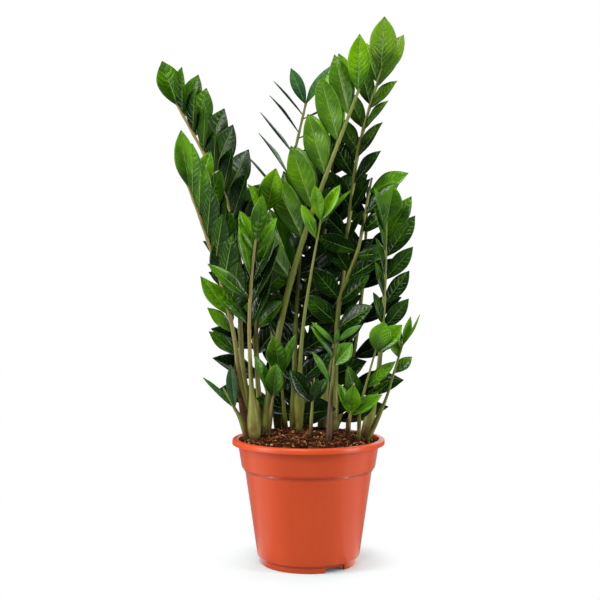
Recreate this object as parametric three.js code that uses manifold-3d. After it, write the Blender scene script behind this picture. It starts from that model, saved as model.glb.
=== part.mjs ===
// A zz plant in a plastic nursery pot. Millimetres, +Z up, -Y is the front.
// The origin is the centre of the pot's foot, on the surface it stands on.
import * as THREE from 'three';
import { mergeVertices } from 'three/addons/utils/BufferGeometryUtils.js';
import Module from 'manifold-3d';

const wasm = await Module();
wasm.setup();

// ---- Pot ------------------------------------------------------------------
const POT_HEIGHT = 197;
const POT_SEGMENTS = 32;
const LIP_RADIUS = 121.5;
const LIP_DROP = 9;
const LIP_ROUND = 3;
const LIP_LEDGE = 1.5;
const COLLAR_TOP_RADIUS = 112;
const COLLAR_FOOT_RADIUS = 106.5;
const STEP_HEIGHT = 149;
const STEP_HALF = 3.5;
const WALL_TOP_RADIUS = 101;
const WALL_FOOT_RADIUS = 81.5;
const WALL = 2.2;
const FOOT_RADIUS = 77.5;
const FOOT_HEIGHT = 10;
const FOOT_RING_WIDTH = 4.5;
const FOOT_CORNER = 1.5;
const FOOT_STEP = 2;
const FLOOR_UNDERSIDE = 5;
const FLOOR_CHAMFER = 5;
const MOULD_DRAFT = 0.5;
const CENTRE_PAD_RADIUS = 30;
const NOTCH_WIDTH = 36;
const NOTCH_HEIGHT = 8;
const NOTCH_COUNT = 3;
const NOTCH_TURN = 32.7;
const FLOOR_TOP = FLOOR_UNDERSIDE + WALL;
const INNER_STEP_FOOT = STEP_HEIGHT - STEP_HALF + 1;
const INNER_STEP_TOP = STEP_HEIGHT + STEP_HALF + 1;

// ---- Soil -----------------------------------------------------------------
const GAP = 0.35;
const SOIL_CENTRE = 208;
const SOIL_EDGE = 190;
const SOIL_ROUNDNESS = 3;
const SOIL_RINGS = 2;
const SOIL_MARGIN = 1.2;
const ROOT_DEPTH = 30;
const HOLE_HEADROOM = 20;
const HOLE_SIDES = 6;

// ---- Stems and leaflets -----------------------------------------------------
const STEM_SIDES = 6;
const STEM_RINGS = [0, 24, 54, 96, 160, 230, 300, 370, 440, 510, 580];
const LAST_RING_MARGIN = 12;
const BULB_HEIGHT = 24;
const BULB_SPREAD = 34;
const CURVE_SAMPLES = 64;
const LEAF_THICKNESS = 0.9;
const LEAF_SECTIONS = [0.33, 0.71];
const FOLD = 17;
const LEAF_CLEARANCE = 8.5;
const STEM_CLEARANCE = 5;
const FLOOR_OF_FOLIAGE = 211;
const NEIGHBOUR_REACH = 0.62;
const PROBE_SPACING = 7;
const PROBE_ROWS = 8;
const PROBE_COLUMNS = [-1, -0.5, 0, 0.5, 1];
const CROWDING = 1.2;
const FIRST_STEP = 0.8;
const STAGGER = 0.2;
const VARIES = { lift: 8, pitch: 10, twist: 12, size: 0.12, step: 0.2 };
const CURL = 0.1;
const CURL_BACK_SHARE = 0.35;
const BLADE_SKEW = 1.06;
const BLADE_FULLNESS = 0.88;
const CAP_TILT = -14;
const CAP_SINK = 5;
const CHORD_ALLOWANCE = 1.08;

// Each stem: path is its centre line from the soil up, foot, neck and tip are radii.
// leaves are two rows of leaflets: from is where they begin along the path, long is the length of
// the lowest and the top leaflets, broad is width over length, pitch is the angle to the rachis
// (low, top), turn is the plan angle that the frond's upper face looks to, lift raises both rows
// towards it, and twist turns each blade towards the tip of the rachis.
// singles are leaflets that stand for themselves: place along the path, plan angle it leans to,
// angle to the rachis, roll about its midrib, length, width over length.
// cap is the leaflet at the end: length, width over length, plan angle its face looks to, sway.
const STEMS = [
  { name: 'frond_centre_tall', foot: 8.6, neck: 6.6, tip: 2.2, seed: 11, shade: 0x5a9a22,
    path: [[-68, 10], [-60, 12, 288], [-40, 4, 400], [-8, -10, 515], [31, -20, 623], [79, -35, 747]],
    leaves: { from: 0.45, pairs: 6, long: [120, 98], broad: 0.4, pitch: [46, 37], turn: 168, lift: 66,
      twist: 10 }, cap: [88, 0.42, 268, -19] },
  { name: 'frond_right_tall', foot: 8, neck: 5.6, tip: 2, seed: 23, shade: 0x4f8f1f,
    path: [[22, 34], [32, 42, 300], [55, 50, 440], [75, 46, 615], [90, 38, 695], [120, 26, 794]],
    leaves: { from: 0.36, pairs: 9, long: [78, 68], broad: 0.46, pitch: [50, 34], turn: 237, lift: 20,
      twist: 14 }, singles: [[0.98, 40, 18, 60, 80, 0.4]], cap: [86, 0.54, 270, -14] },
  { name: 'frond_left_tall', foot: 8, neck: 5, tip: 2, seed: 37, shade: 0x3f7d1c,
    path: [[-84, 38], [-106, 26, 300], [-112, 14, 430], [-123, 8, 550], [-160, 8, 636], [-212, 6, 733]],
    leaves: { from: 0.48, pairs: 8, long: [86, 76], broad: 0.5, pitch: [52, 45], turn: 340, lift: 66,
      twist: 172 }, singles: [[0.25, 50, 40, 50, 80, 0.42], [0.39, 22, 36, 60, 84, 0.42]],
    cap: [74, 0.56, 272, 9] },
  { name: 'frond_left_mid', foot: 8, neck: 4.6, tip: 1.8, seed: 41, shade: 0x3f7d1c,
    path: [[-93, 7], [-109, -6, 280], [-118, -16, 360], [-137, -24, 440], [-164, -30, 527],
      [-189, -35, 597]],
    leaves: { from: 0.48, pairs: 6, long: [98, 86], broad: 0.4, pitch: [36, 34], turn: 344, lift: 62,
      twist: 10 }, cap: [91, 0.38, 275, 12] },
  { name: 'frond_left_front', foot: 10.4, neck: 4.4, tip: 1.7, seed: 53, shade: 0x57932a,
    path: [[-84, -34], [-90, -42, 300], [-92, -50, 380], [-88, -60, 450], [-81, -70, 512]],
    singles: [[0.54, 30, 24, 15, 100, 0.3], [0.57, 180, 42, -62, 94, 0.24], [0.66, 50, 26, 10, 110, 0.3],
      [0.7, 178, 32, -62, 90, 0.29], [0.77, 60, 28, 12, 98, 0.3], [0.8, 175, 28, -62, 94, 0.29],
      [0.9, 30, 26, 25, 74, 0.3], [0.93, 170, 26, -62, 68, 0.34]], cap: [76, 0.34, 280, 0] },
  { name: 'frond_right_front', foot: 9, neck: 5, tip: 1.8, seed: 67, shade: 0x4d8a22,
    path: [[90, -6], [107, -12, 275], [115, -18, 350], [120, -24, 440], [122, -30, 542]],
    leaves: { from: 0.52, pairs: 5, long: [64, 84], broad: 0.4, pitch: [38, 30], turn: 295, lift: 30,
      twist: 8 }, cap: [62, 0.6, 272, 8] },
  { name: 'frond_left_inner', foot: 7.6, neck: 4.6, tip: 1.9, seed: 71, shade: 0x5c9c2a,
    path: [[-76, 60], [-84, 42, 300], [-84, 22, 400], [-76, 0, 480], [-66, -18, 562]],
    leaves: { from: 0.5, pairs: 5, long: [76, 78], broad: 0.42, pitch: [44, 36], turn: 272, lift: 20,
      twist: 18 }, cap: [86, 0.46, 268, -6] },
  { name: 'frond_back_left', foot: 7.6, neck: 4.8, tip: 1.8, seed: 83, shade: 0x37701f,
    path: [[-50, 62], [-58, 72, 330], [-58, 68, 460], [-36, 66, 600], [-3, 60, 747]],
    leaves: { from: 0.44, pairs: 8, long: [124, 72], broad: 0.3, pitch: [46, 54], turn: 270, lift: 6,
      twist: 80 }, singles: [[0.99, 0, 20, 50, 76, 0.3]], cap: [64, 0.36, 265, -34] },
  { name: 'frond_right_back', foot: 7.6, neck: 5.6, tip: 1.8, seed: 97, shade: 0x37701f,
    path: [[40, 6], [48, 8, 396], [62, 9, 449], [80, 10, 498], [90, 15, 548], [103, 22, 615]],
    leaves: { from: 0.4, pairs: 7, long: [74, 74], broad: 0.48, pitch: [56, 48], turn: 245, lift: 14,
      twist: 14 }, cap: [74, 0.4, 262, 0] },
  { name: 'frond_centre_slim', foot: 5.5, neck: 4.4, tip: 1.2, bulge: 9, seed: 101, shade: 0x579a26,
    path: [[-15, -14], [-14, -26, 300], [-8, -36, 380], [4, -50, 460], [19, -62, 543]],
    singles: [[0.9, 185, 35, -60, 60, 0.4], [0.97, 10, 33, 12, 72, 0.3], [0.985, 350, 20, 65, 64, 0.38]],
    cap: [58, 0.36, 262, -17] },
  { name: 'shoot_centre', foot: 3.8, neck: 2.8, tip: 1.5, seed: 173, shade: 0x4f8d2c,
    path: [[-36, 24], [-40, 6, 250], [-44, -8, 300]],
    singles: [[0.96, 350, 30, 50, 76, 0.3]], cap: [80, 0.42, 268, -4] },
  { name: 'frond_back_centre', foot: 8.8, neck: 6.4, tip: 2, seed: 113, shade: 0x2f661b,
    path: [[0, 64], [2, 76, 320], [14, 86, 440], [32, 92, 560], [44, 92, 660]],
    leaves: { from: 0.05, pairs: 9, long: [104, 84], broad: 0.5, pitch: [66, 36], turn: 262, lift: 14,
      twist: 26 }, cap: [76, 0.4, 265, 0] },
  { name: 'frond_back_right', foot: 7.8, neck: 4.8, tip: 1.9, seed: 127, shade: 0x2f661b,
    path: [[44, 80], [74, 98, 310], [90, 104, 410], [98, 104, 510], [102, 100, 610]],
    leaves: { from: 0.05, pairs: 8, long: [100, 80], broad: 0.48, pitch: [66, 36], turn: 255, lift: 16,
      twist: 26 }, cap: [72, 0.42, 265, 0] },
  { name: 'frond_back_far_left', foot: 7.8, neck: 4.6, tip: 1.9, seed: 131, shade: 0x2f661b,
    path: [[-42, 84], [-84, 98, 310], [-100, 100, 400], [-114, 98, 480], [-132, 96, 556]],
    leaves: { from: 0.12, pairs: 8, long: [98, 82], broad: 0.48, pitch: [62, 36], turn: 286, lift: 14,
      twist: 24 }, cap: [74, 0.42, 290, 0] },
  { name: 'frond_back_short', foot: 7.4, neck: 4.4, tip: 1.8, seed: 139, shade: 0x2f661b,
    path: [[-6, 92], [-8, 118, 300], [-8, 130, 380], [-4, 138, 460], [2, 144, 530]],
    leaves: { from: 0.04, pairs: 6, long: [106, 84], broad: 0.5, pitch: [66, 36], turn: 276, lift: 10,
      twist: 26 }, cap: [70, 0.42, 270, 0] },
  { name: 'frond_middle_dark', foot: 7.4, neck: 5, tip: 1.8, seed: 137, shade: 0x2f661b,
    path: [[-24, 50], [-22, 40, 330], [-18, 32, 420], [-12, 26, 500], [-4, 20, 572]],
    leaves: { from: 0.06, pairs: 8, long: [98, 82], broad: 0.48, pitch: [64, 36], turn: 280, lift: 12,
      twist: 28 }, cap: [72, 0.42, 280, 0] },
  { name: 'shoot_front_right', foot: 4.9, neck: 3.2, tip: 1.6, seed: 149, shade: 0x5b9a2c,
    path: [[31, -62], [34, -66, 276], [42, -68, 354]],
    singles: [[0.56, 182, 36, -45, 60, 0.26], [0.75, 350, 34, 72, 46, 0.7], [0.8, 5, 24, 15, 38, 0.24],
      [0.82, 188, 42, -40, 63, 0.26], [0.96, 180, 54, -38, 52, 0.28], [0.985, 2, 48, 38, 48, 0.34]],
    cap: [24, 0.3, 270, 0] },
  { name: 'shoot_right_edge', foot: 4.6, neck: 2.9, tip: 1.4, seed: 151, shade: 0x4a8626,
    path: [[92, -30], [120, -34, 260], [132, -36, 300], [147, -38, 349]],
    singles: [[0.7, 20, 34, 50, 40, 0.5], [0.86, 182, 38, -60, 38, 0.56], [0.94, 200, 34, -50, 44, 0.46],
      [0.98, 95, 12, 20, 48, 0.32]], cap: [58, 0.26, 5, 0] },
  { name: 'shoot_left_low', foot: 3.9, neck: 2.8, tip: 1.4, seed: 157, shade: 0x2f6a1d,
    path: [[-94, 30], [-110, 14, 300], [-118, 8, 345], [-127, 5, 397]],
    singles: [[0.66, 188, 38, -60, 60, 0.42], [0.84, 190, 36, -60, 58, 0.42], [0.9, 60, 34, 40, 60, 0.4]],
    cap: [80, 0.34, 265, -24] },
  { name: 'shoot_left_sheathed', foot: 5.2, neck: 3.4, tip: 1.4, seed: 163, shade: 0x4d7d3c,
    path: [[-97, -14], [-107, -18, 228], [-119, -20, 250]],
    singles: [[0.9, 182, 14, -30, 72, 0.22]], cap: [78, 0.26, 250, 30] },
  { name: 'shoot_front_left', foot: 3.6, neck: 2.6, tip: 1.5, seed: 167, shade: 0x5f9d33,
    path: [[-62, -26], [-60, -30, 236], [-55, -34, 268]],
    singles: [[0.94, 178, 34, -58, 80, 0.32]], cap: [61, 0.52, 272, -4] },
  { name: 'shoot_front_mid', foot: 3.2, neck: 2.3, tip: 1.4, seed: 179, shade: 0x2f6a1d,
    path: [[3, -52], [4, -56, 232], [6, -58, 262]],
    singles: [[0.94, 182, 38, -62, 63, 0.5], [0.98, 0, 30, 60, 44, 0.42]], cap: [44, 0.4, 275, 6] },
  { name: 'shoot_right_low', foot: 3.4, neck: 2.4, tip: 1.4, seed: 181, shade: 0x4d8a2a,
    path: [[62, -52], [62, -58, 224], [64, -62, 244]],
    singles: [[0.9, 352, 48, 42, 60, 0.46], [0.96, 190, 30, -50, 54, 0.46]], cap: [56, 0.5, 265, 0] },
  { name: 'shoot_right_inner', foot: 3.4, neck: 2.6, tip: 1.4, seed: 191, shade: 0x4d8a2a,
    path: [[78, -38], [80, -50, 250], [92, -56, 300], [104, -58, 343]],
    singles: [[0.22, 10, 30, 40, 46, 0.5], [0.34, 190, 18, -52, 70, 0.36], [0.42, 0, 46, 14, 58, 0.3],
      [0.56, 2, 34, 46, 64, 0.36], [0.95, 355, 36, 62, 60, 0.6]], cap: [50, 0.72, 268, 0] },
];

// Dry brown scale leaves that wrap the foot of a stem, up to a pointed top.
const SHEATHS = [
  { name: 'sheath_left', stem: 'frond_left_mid', rings: [0, 24, 54, 96, 122], facing: 215, span: 220 },
  { name: 'sheath_right', stem: 'shoot_right_low', rings: [0, 12, 24, 36], facing: 215, span: 200 },
];
const SHEATH_THICKNESS = 1;
const SHEATH_GAP = 0.7;
const SHEATH_STEPS = 8;
const SHEATH_ROUNDNESS = 14;
const SHEATH_POINT = 0.92;

// Angles (pitch, lift) by which a leaflet bends to pass clear of other stems, tried in turn.
const BENDS = [[0, 0], [7, 0], [-7, 0], [0, 14], [0, -14], [13, 10], [13, -10], [-13, 10], [-13, -10],
  [0, 28], [0, -28], [22, 0], [22, 24], [22, -24], [-18, 26], [-18, -26], [34, 12], [34, -12],
  [10, 44], [10, -44]];
const SHRINKS = [1, 0.84, 0.7];

// ---- Small helpers ----------------------------------------------------------
const degrees = (angle) => (angle * Math.PI) / 180;
const mix = (a, b, t) => a + (b - a) * t;
const vector = (x, y, z) => new THREE.Vector3(x, y, z);

// Adds scaled vectors: combine([a, 2], [b, -1]) is 2a - b.
const combine = (...terms) =>
  terms.reduce((sum, [v, scale]) => sum.addScaledVector(v, scale), new THREE.Vector3());

// The part of v that is square to axis, at unit length.
const squareTo = (v, axis) => combine([v, 1], [axis, -v.dot(axis)]).normalize();

// A repeatable sequence of numbers from 0 to 1.
function numberSequence(seed) {
  let state = seed;
  return () => {
    state = (1664525 * state + 1013904223) % 4294967296;
    return state / 4294967296;
  };
}

const soilHeight = (radius) =>
  SOIL_CENTRE - (SOIL_CENTRE - SOIL_EDGE) * (radius / COLLAR_TOP_RADIUS) ** SOIL_ROUNDNESS;

function toSolid(geometry) {
  geometry.deleteAttribute('normal');
  geometry.deleteAttribute('uv');
  const merged = mergeVertices(geometry, 1e-4);
  const mesh = new wasm.Mesh({
    numProp: 3,
    vertProperties: merged.attributes.position.array,
    triVerts: merged.index.array,
  });
  return new wasm.Manifold(mesh);
}

function toGeometry(solid) {
  const mesh = solid.getMesh();
  const geometry = new THREE.BufferGeometry();
  geometry.setAttribute('position', new THREE.BufferAttribute(mesh.vertProperties, 3));
  geometry.setIndex(new THREE.BufferAttribute(mesh.triVerts, 1));
  geometry.computeVertexNormals();
  return geometry;
}

// Closes a stack of rings, each with the same number of points, into one solid.
function skin(rings) {
  const count = rings[0].length;
  const index = [];
  for (let r = 0; r + 1 < rings.length; r += 1) {
    for (let k = 0; k < count; k += 1) {
      const a = r * count + k;
      const b = r * count + ((k + 1) % count);
      index.push(a, b, b + count, a, b + count, a + count);
    }
  }
  const last = (rings.length - 1) * count;
  for (let k = 1; k + 1 < count; k += 1) {
    index.push(0, k + 1, k, last, last + k, last + k + 1);
  }
  const geometry = new THREE.BufferGeometry().setFromPoints(rings.flat());
  geometry.setIndex(index);
  return geometry;
}

function ringAround(centre, tangent, radius, sides) {
  const first = squareTo(vector(1, 0, 0), tangent);
  const second = tangent.clone().cross(first);
  return Array.from({ length: sides }, (_, k) => {
    const angle = (2 * Math.PI * k) / sides;
    return combine([centre, 1], [first, radius * Math.cos(angle)], [second, radius * Math.sin(angle)]);
  });
}

// ---- Stem: its centre line and thickness --------------------------------------
function traceStem(stem) {
  const [x, y] = stem.path[0];
  const points = stem.path.map((p) => vector(p[0], p[1], p[2] ?? soilHeight(Math.hypot(x, y))));
  const curve = new THREE.CatmullRomCurve3(points, false, 'catmullrom', 0.5);
  const samples = curve.getPoints(CURVE_SAMPLES);
  const heights = [0];
  for (let i = 1; i < samples.length; i += 1) {
    heights.push(heights[i - 1] + samples[i].distanceTo(samples[i - 1]));
  }
  return { ...stem, samples, heights, length: heights[CURVE_SAMPLES] };
}

// The point and direction of a stem at a length along it from the soil.
function stemAt(stem, along) {
  let i = 1;
  while (i < CURVE_SAMPLES && stem.heights[i] < along) {
    i += 1;
  }
  const start = stem.samples[i - 1];
  const step = stem.samples[i].clone().sub(start);
  const share = (along - stem.heights[i - 1]) / (stem.heights[i] - stem.heights[i - 1]);
  return { point: combine([start, 1], [step, share]), tangent: step.normalize() };
}

function stemRadius(stem, along) {
  const shaft = mix(stem.neck, stem.tip, Math.min(1, along / stem.length));
  const bulge = (stem.bulge ?? stem.foot) - stem.neck;
  const peak = stem.bulge ? 2 * BULB_HEIGHT : BULB_HEIGHT;
  return shaft + bulge * Math.exp(-(((along - peak) / BULB_SPREAD) ** 2));
}

const footRadius = (stem) => stemRadius(stem, 0);

function stemSolid(stem) {
  const foot = stem.samples[0];
  const up = vector(0, 0, 1);
  const radius = footRadius(stem);
  const rings = [ringAround(combine([foot, 1], [up, -ROOT_DEPTH]), up, radius, STEM_SIDES)];
  const stops = STEM_RINGS.filter((along) => along < stem.length - LAST_RING_MARGIN);
  for (const along of [...stops, stem.length]) {
    const { point, tangent } = stemAt(stem, along);
    rings.push(ringAround(point, along === 0 ? up : tangent, stemRadius(stem, along), STEM_SIDES));
  }
  return toSolid(skin(rings));
}

// ---- Leaflet ------------------------------------------------------------------
// Half the blade's width at t, from the root at 0 to the tip at 1.
function halfWidth(leaf, t) {
  return (leaf.width / 2) * Math.max(0, Math.sin(Math.PI * t ** BLADE_SKEW)) ** BLADE_FULLNESS;
}

// A point of the blade: t runs along it, u from edge to edge, lift is along its upper face.
function bladePoint(leaf, t, u, lift = 0) {
  const half = halfWidth(leaf, t);
  const rise = Math.abs(u) * half * Math.sin(degrees(FOLD)) + leaf.curl * leaf.length * t * t + lift;
  const across = u * half * Math.cos(degrees(FOLD));
  return combine([leaf.root, 1], [leaf.along, leaf.length * t], [leaf.across, across], [leaf.up, rise]);
}

function leafSolid(leaf) {
  const half = LEAF_THICKNESS / 2;
  const ends = [bladePoint(leaf, 0, 0), bladePoint(leaf, 1, 0)];
  const loops = LEAF_SECTIONS.map((t) => [
    ...[-1, 0, 1].map((u) => bladePoint(leaf, t, u * CHORD_ALLOWANCE, half)),
    ...[1, 0, -1].map((u) => bladePoint(leaf, t, u * CHORD_ALLOWANCE, -half)),
  ]);
  const points = [ends[0], ...loops.flat(), ends[1]];
  const count = loops[0].length;
  const tip = points.length - 1;
  const index = [];
  for (let k = 0; k < count; k += 1) {
    const a = 1 + k;
    const b = 1 + ((k + 1) % count);
    index.push(0, b, a, a + count, b + count, tip);
    // Both faces are split along the same lines, so a folded blade never crosses itself.
    if (k === 0 || k === 4) {
      index.push(a, b, a + count, b, b + count, a + count);
    } else {
      index.push(a, b, b + count, a, b + count, a + count);
    }
  }
  const geometry = new THREE.BufferGeometry().setFromPoints(points);
  geometry.setIndex(index);
  return toSolid(geometry);
}

const curlOf = (draw) => CURL * (draw - CURL_BACK_SHARE);

// The leaflet of one row (side 1 or -1) whose root is at a length along the stem.
function makeLeaf(stem, along, side, draws, bend, shrink) {
  const { leaves } = stem;
  const { point, tangent } = stemAt(stem, along);
  const share = (along / stem.length - leaves.from) / (1 - leaves.from);
  const turn = degrees(leaves.turn);
  const facing = squareTo(vector(Math.cos(turn), Math.sin(turn), 0), tangent);
  const sideways = tangent.clone().cross(facing).multiplyScalar(side);
  const lift = degrees(leaves.lift + bend[1] + VARIES.lift * (draws[0] - 0.5));
  const pitch = degrees(mix(...leaves.pitch, share) + bend[0] + VARIES.pitch * (draws[1] - 0.5));
  const twist = degrees(leaves.twist + VARIES.twist * (draws[2] - 0.5));
  const outward = combine([sideways, Math.cos(lift)], [facing, Math.sin(lift)]);
  const inward = combine([facing, Math.cos(lift)], [sideways, -Math.sin(lift)]);
  const direction = combine([tangent, Math.cos(pitch)], [outward, Math.sin(pitch)]);
  const towardsTip = combine([tangent, Math.sin(pitch)], [outward, -Math.cos(pitch)]);
  const up = combine([inward, Math.cos(twist)], [towardsTip, Math.sin(twist)]);
  const size = mix(...leaves.long, share) * (1 + VARIES.size * (draws[3] - 0.5)) * shrink;
  return {
    root: point, along: direction, up, across: direction.clone().cross(up),
    length: size, width: size * leaves.broad, curl: curlOf(draws[4]),
  };
}

// A leaflet that stands for itself, as a stem lists it under singles.
function makeSingle(stem, [place, heading, angle, roll, size, broad], curl, bend, shrink) {
  const { point, tangent } = stemAt(stem, place * stem.length);
  const turn = degrees(heading + bend[1]);
  const pitch = degrees(angle + bend[0]);
  const outward = squareTo(vector(Math.cos(turn), Math.sin(turn), 0), tangent);
  const along = combine([tangent, Math.cos(pitch)], [outward, Math.sin(pitch)]);
  const upper = combine([tangent, Math.sin(pitch)], [outward, -Math.cos(pitch)]);
  const side = along.clone().cross(upper);
  const up = combine([upper, Math.cos(degrees(roll))], [side, Math.sin(degrees(roll))]);
  const length = size * shrink;
  return { root: point, along, up, across: along.clone().cross(up), length, width: length * broad, curl };
}

// The leaflet at the end of the rachis. It leans towards the side its face looks to.
function makeCap(stem, curl, bend, shrink) {
  const [size, broad, turn, lean] = stem.cap;
  const { point, tangent } = stemAt(stem, stem.length - CAP_SINK);
  const tilt = degrees(CAP_TILT + bend[0]);
  const sway = degrees(lean + bend[1] / 2);
  const facing = squareTo(vector(Math.cos(degrees(turn)), Math.sin(degrees(turn)), 0), tangent);
  const sideways = tangent.clone().cross(facing);
  const straight = combine([tangent, Math.cos(tilt)], [facing, -Math.sin(tilt)]);
  const along = combine([straight, Math.cos(sway)], [sideways, Math.sin(sway)]).normalize();
  const up = squareTo(facing, along);
  const length = size * shrink;
  return { root: point, along, up, across: along.clone().cross(up), length, width: length * broad, curl };
}

// ---- Room between stems -------------------------------------------------------
function leafProbes(leaf) {
  const probes = [];
  for (let row = 1; row <= PROBE_ROWS; row += 1) {
    for (const u of PROBE_COLUMNS) {
      probes.push(bladePoint(leaf, row / PROBE_ROWS, u));
    }
  }
  return probes;
}

function stemProbes(stem) {
  const probes = [];
  for (let along = 0; along <= stem.length; along += PROBE_SPACING) {
    const probe = stemAt(stem, along).point;
    probe.reach = stemRadius(stem, along) + STEM_CLEARANCE;
    probes.push(probe);
  }
  return probes;
}

const middle = (probes) => probes[Math.floor(probes.length / 2)];

function isClear(probes, leaf, otherLeaves, otherStems) {
  if (probes.some((p) => p.z < FLOOR_OF_FOLIAGE)) {
    return false;
  }
  const centre = middle(probes);
  for (const stem of otherStems) {
    for (const q of stem) {
      if (q.distanceTo(centre) < leaf.length && probes.some((p) => p.distanceTo(q) < q.reach)) {
        return false;
      }
    }
  }
  return !otherLeaves.some((other) =>
    middle(other.probes).distanceTo(centre) < NEIGHBOUR_REACH * (leaf.length + other.length)
    && other.probes.some((q) => probes.some((p) => p.distanceTo(q) < LEAF_CLEARANCE)));
}

// Bends a leaflet, then shortens it, until it stands clear of the other stems and their leaflets.
function fitLeaf(make, otherLeaves, otherStems) {
  for (const shrink of SHRINKS) {
    for (const bend of BENDS) {
      const leaf = make(bend, shrink);
      const probes = leafProbes(leaf);
      if (isClear(probes, leaf, otherLeaves, otherStems)) {
        return { ...leaf, probes };
      }
    }
  }
  return null;
}

// The leaflets of both rows, from the lowest pair to the top pair.
function rowJobs(stem, draw) {
  const { from, pairs } = stem.leaves;
  const jobs = [];
  for (let i = pairs - 1; i >= 0; i -= 1) {
    for (const side of [1, -1]) {
      const draws = Array.from({ length: 5 }, draw);
      const step = pairs - 1 - i + FIRST_STEP + (side > 0 ? STAGGER : 0) + VARIES.step * draw();
      const place = 1 - (1 - from) * (step / pairs) ** CROWDING;
      jobs.push((bend, shrink) =>
        makeLeaf(stem, place * stem.length, side, draws, [bend[0], bend[1] * side], shrink));
    }
  }
  return jobs;
}

function growLeaves(stems) {
  const grown = [];
  const probes = stems.map(stemProbes);
  stems.forEach((stem, number) => {
    const draw = numberSequence(stem.seed);
    const others = [...grown];
    const otherStems = probes.filter((_, k) => k !== number);
    const jobs = stem.leaves ? rowJobs(stem, draw) : [];
    for (const single of stem.singles ?? []) {
      const curl = curlOf(draw());
      jobs.push((bend, shrink) => makeSingle(stem, single, curl, bend, shrink));
    }
    const capCurl = curlOf(draw());
    jobs.push((bend, shrink) => makeCap(stem, capCurl, bend, shrink));
    stem.grown = jobs.map((job) => fitLeaf(job, others, otherStems)).filter((leaf) => leaf !== null);
    grown.push(...stem.grown);
  });
}

// ---- Pot and soil ---------------------------------------------------------------
function latheOf(profile) {
  const points = profile.map(([radius, height]) => new THREE.Vector2(radius, height));
  const geometry = new THREE.LatheGeometry(points, POT_SEGMENTS);
  geometry.rotateX(Math.PI / 2);
  return toSolid(geometry);
}

function potSolid() {
  const lipFoot = POT_HEIGHT - LIP_DROP;
  const ringInside = FOOT_RADIUS - FOOT_RING_WIDTH;
  const outside = [
    [0, 0], [CENTRE_PAD_RADIUS, 0], [CENTRE_PAD_RADIUS + 2 * MOULD_DRAFT, FLOOR_UNDERSIDE],
    [ringInside, FLOOR_UNDERSIDE], [ringInside + MOULD_DRAFT, 0],
    [FOOT_RADIUS - FOOT_CORNER, 0], [FOOT_RADIUS, FOOT_HEIGHT],
    [WALL_FOOT_RADIUS, FOOT_HEIGHT + FOOT_STEP], [WALL_TOP_RADIUS, STEP_HEIGHT - STEP_HALF],
    [COLLAR_FOOT_RADIUS, STEP_HEIGHT + STEP_HALF],
  ];
  const lip = [
    [COLLAR_TOP_RADIUS, lipFoot - LIP_LEDGE], [COLLAR_TOP_RADIUS + LIP_LEDGE, lipFoot + MOULD_DRAFT],
    [LIP_RADIUS - WALL, lipFoot + LIP_LEDGE], [LIP_RADIUS - 2 * MOULD_DRAFT, lipFoot],
    [LIP_RADIUS, lipFoot + LIP_LEDGE], [LIP_RADIUS, POT_HEIGHT - LIP_ROUND],
    [LIP_RADIUS - LIP_ROUND, POT_HEIGHT], [COLLAR_TOP_RADIUS + LIP_LEDGE, POT_HEIGHT],
    [COLLAR_TOP_RADIUS - LIP_LEDGE, POT_HEIGHT - LIP_ROUND],
  ];
  const inside = [
    [COLLAR_FOOT_RADIUS - WALL, INNER_STEP_TOP], [WALL_TOP_RADIUS - WALL, INNER_STEP_FOOT],
    [WALL_FOOT_RADIUS - WALL, FLOOR_TOP + FLOOR_CHAMFER],
    [WALL_FOOT_RADIUS - WALL - FLOOR_CHAMFER, FLOOR_TOP], [0, FLOOR_TOP],
  ];
  let pot = latheOf([...outside, ...lip, ...inside]);
  // Drain notches through the foot ring and the corner of the floor.
  for (let k = 0; k < NOTCH_COUNT; k += 1) {
    const notch = new THREE.BoxGeometry(NOTCH_WIDTH, 3 * FOOT_RING_WIDTH, 2 * NOTCH_HEIGHT);
    notch.translate(0, -(FOOT_RADIUS - FOOT_RING_WIDTH / 2), 0);
    notch.rotateZ(degrees(NOTCH_TURN + (360 * k) / NOTCH_COUNT));
    pot = pot.subtract(toSolid(notch));
  }
  return pot;
}

function soilSolid(stems) {
  const top = Array.from({ length: SOIL_RINGS + 1 }, (_, k) => {
    const radius = (COLLAR_TOP_RADIUS - WALL - SOIL_MARGIN) * (1 - k / SOIL_RINGS);
    return [radius, soilHeight(radius)];
  });
  let soil = latheOf([
    [0, FLOOR_TOP + GAP], [WALL_FOOT_RADIUS - WALL - FLOOR_CHAMFER - GAP, FLOOR_TOP + GAP],
    [WALL_FOOT_RADIUS - WALL - GAP, FLOOR_TOP + FLOOR_CHAMFER + GAP],
    [WALL_TOP_RADIUS - WALL - GAP, INNER_STEP_FOOT + GAP],
    [COLLAR_FOOT_RADIUS - WALL - GAP, INNER_STEP_TOP + GAP],
    ...top,
  ]);
  for (const stem of stems) {
    const wrap = SHEATHS.some((sheath) => sheath.stem === stem.name)
      ? SHEATH_GAP + SHEATH_THICKNESS + GAP : GAP;
    const radius = (footRadius(stem) + wrap) / Math.cos(Math.PI / HOLE_SIDES);
    const foot = stem.samples[0];
    const depth = ROOT_DEPTH + HOLE_HEADROOM;
    const hole = new THREE.CylinderGeometry(radius, radius, depth, HOLE_SIDES);
    hole.rotateX(Math.PI / 2);
    hole.translate(foot.x, foot.y, foot.z - ROOT_DEPTH - GAP + depth / 2);
    soil = soil.subtract(toSolid(hole));
  }
  return soil;
}

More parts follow.
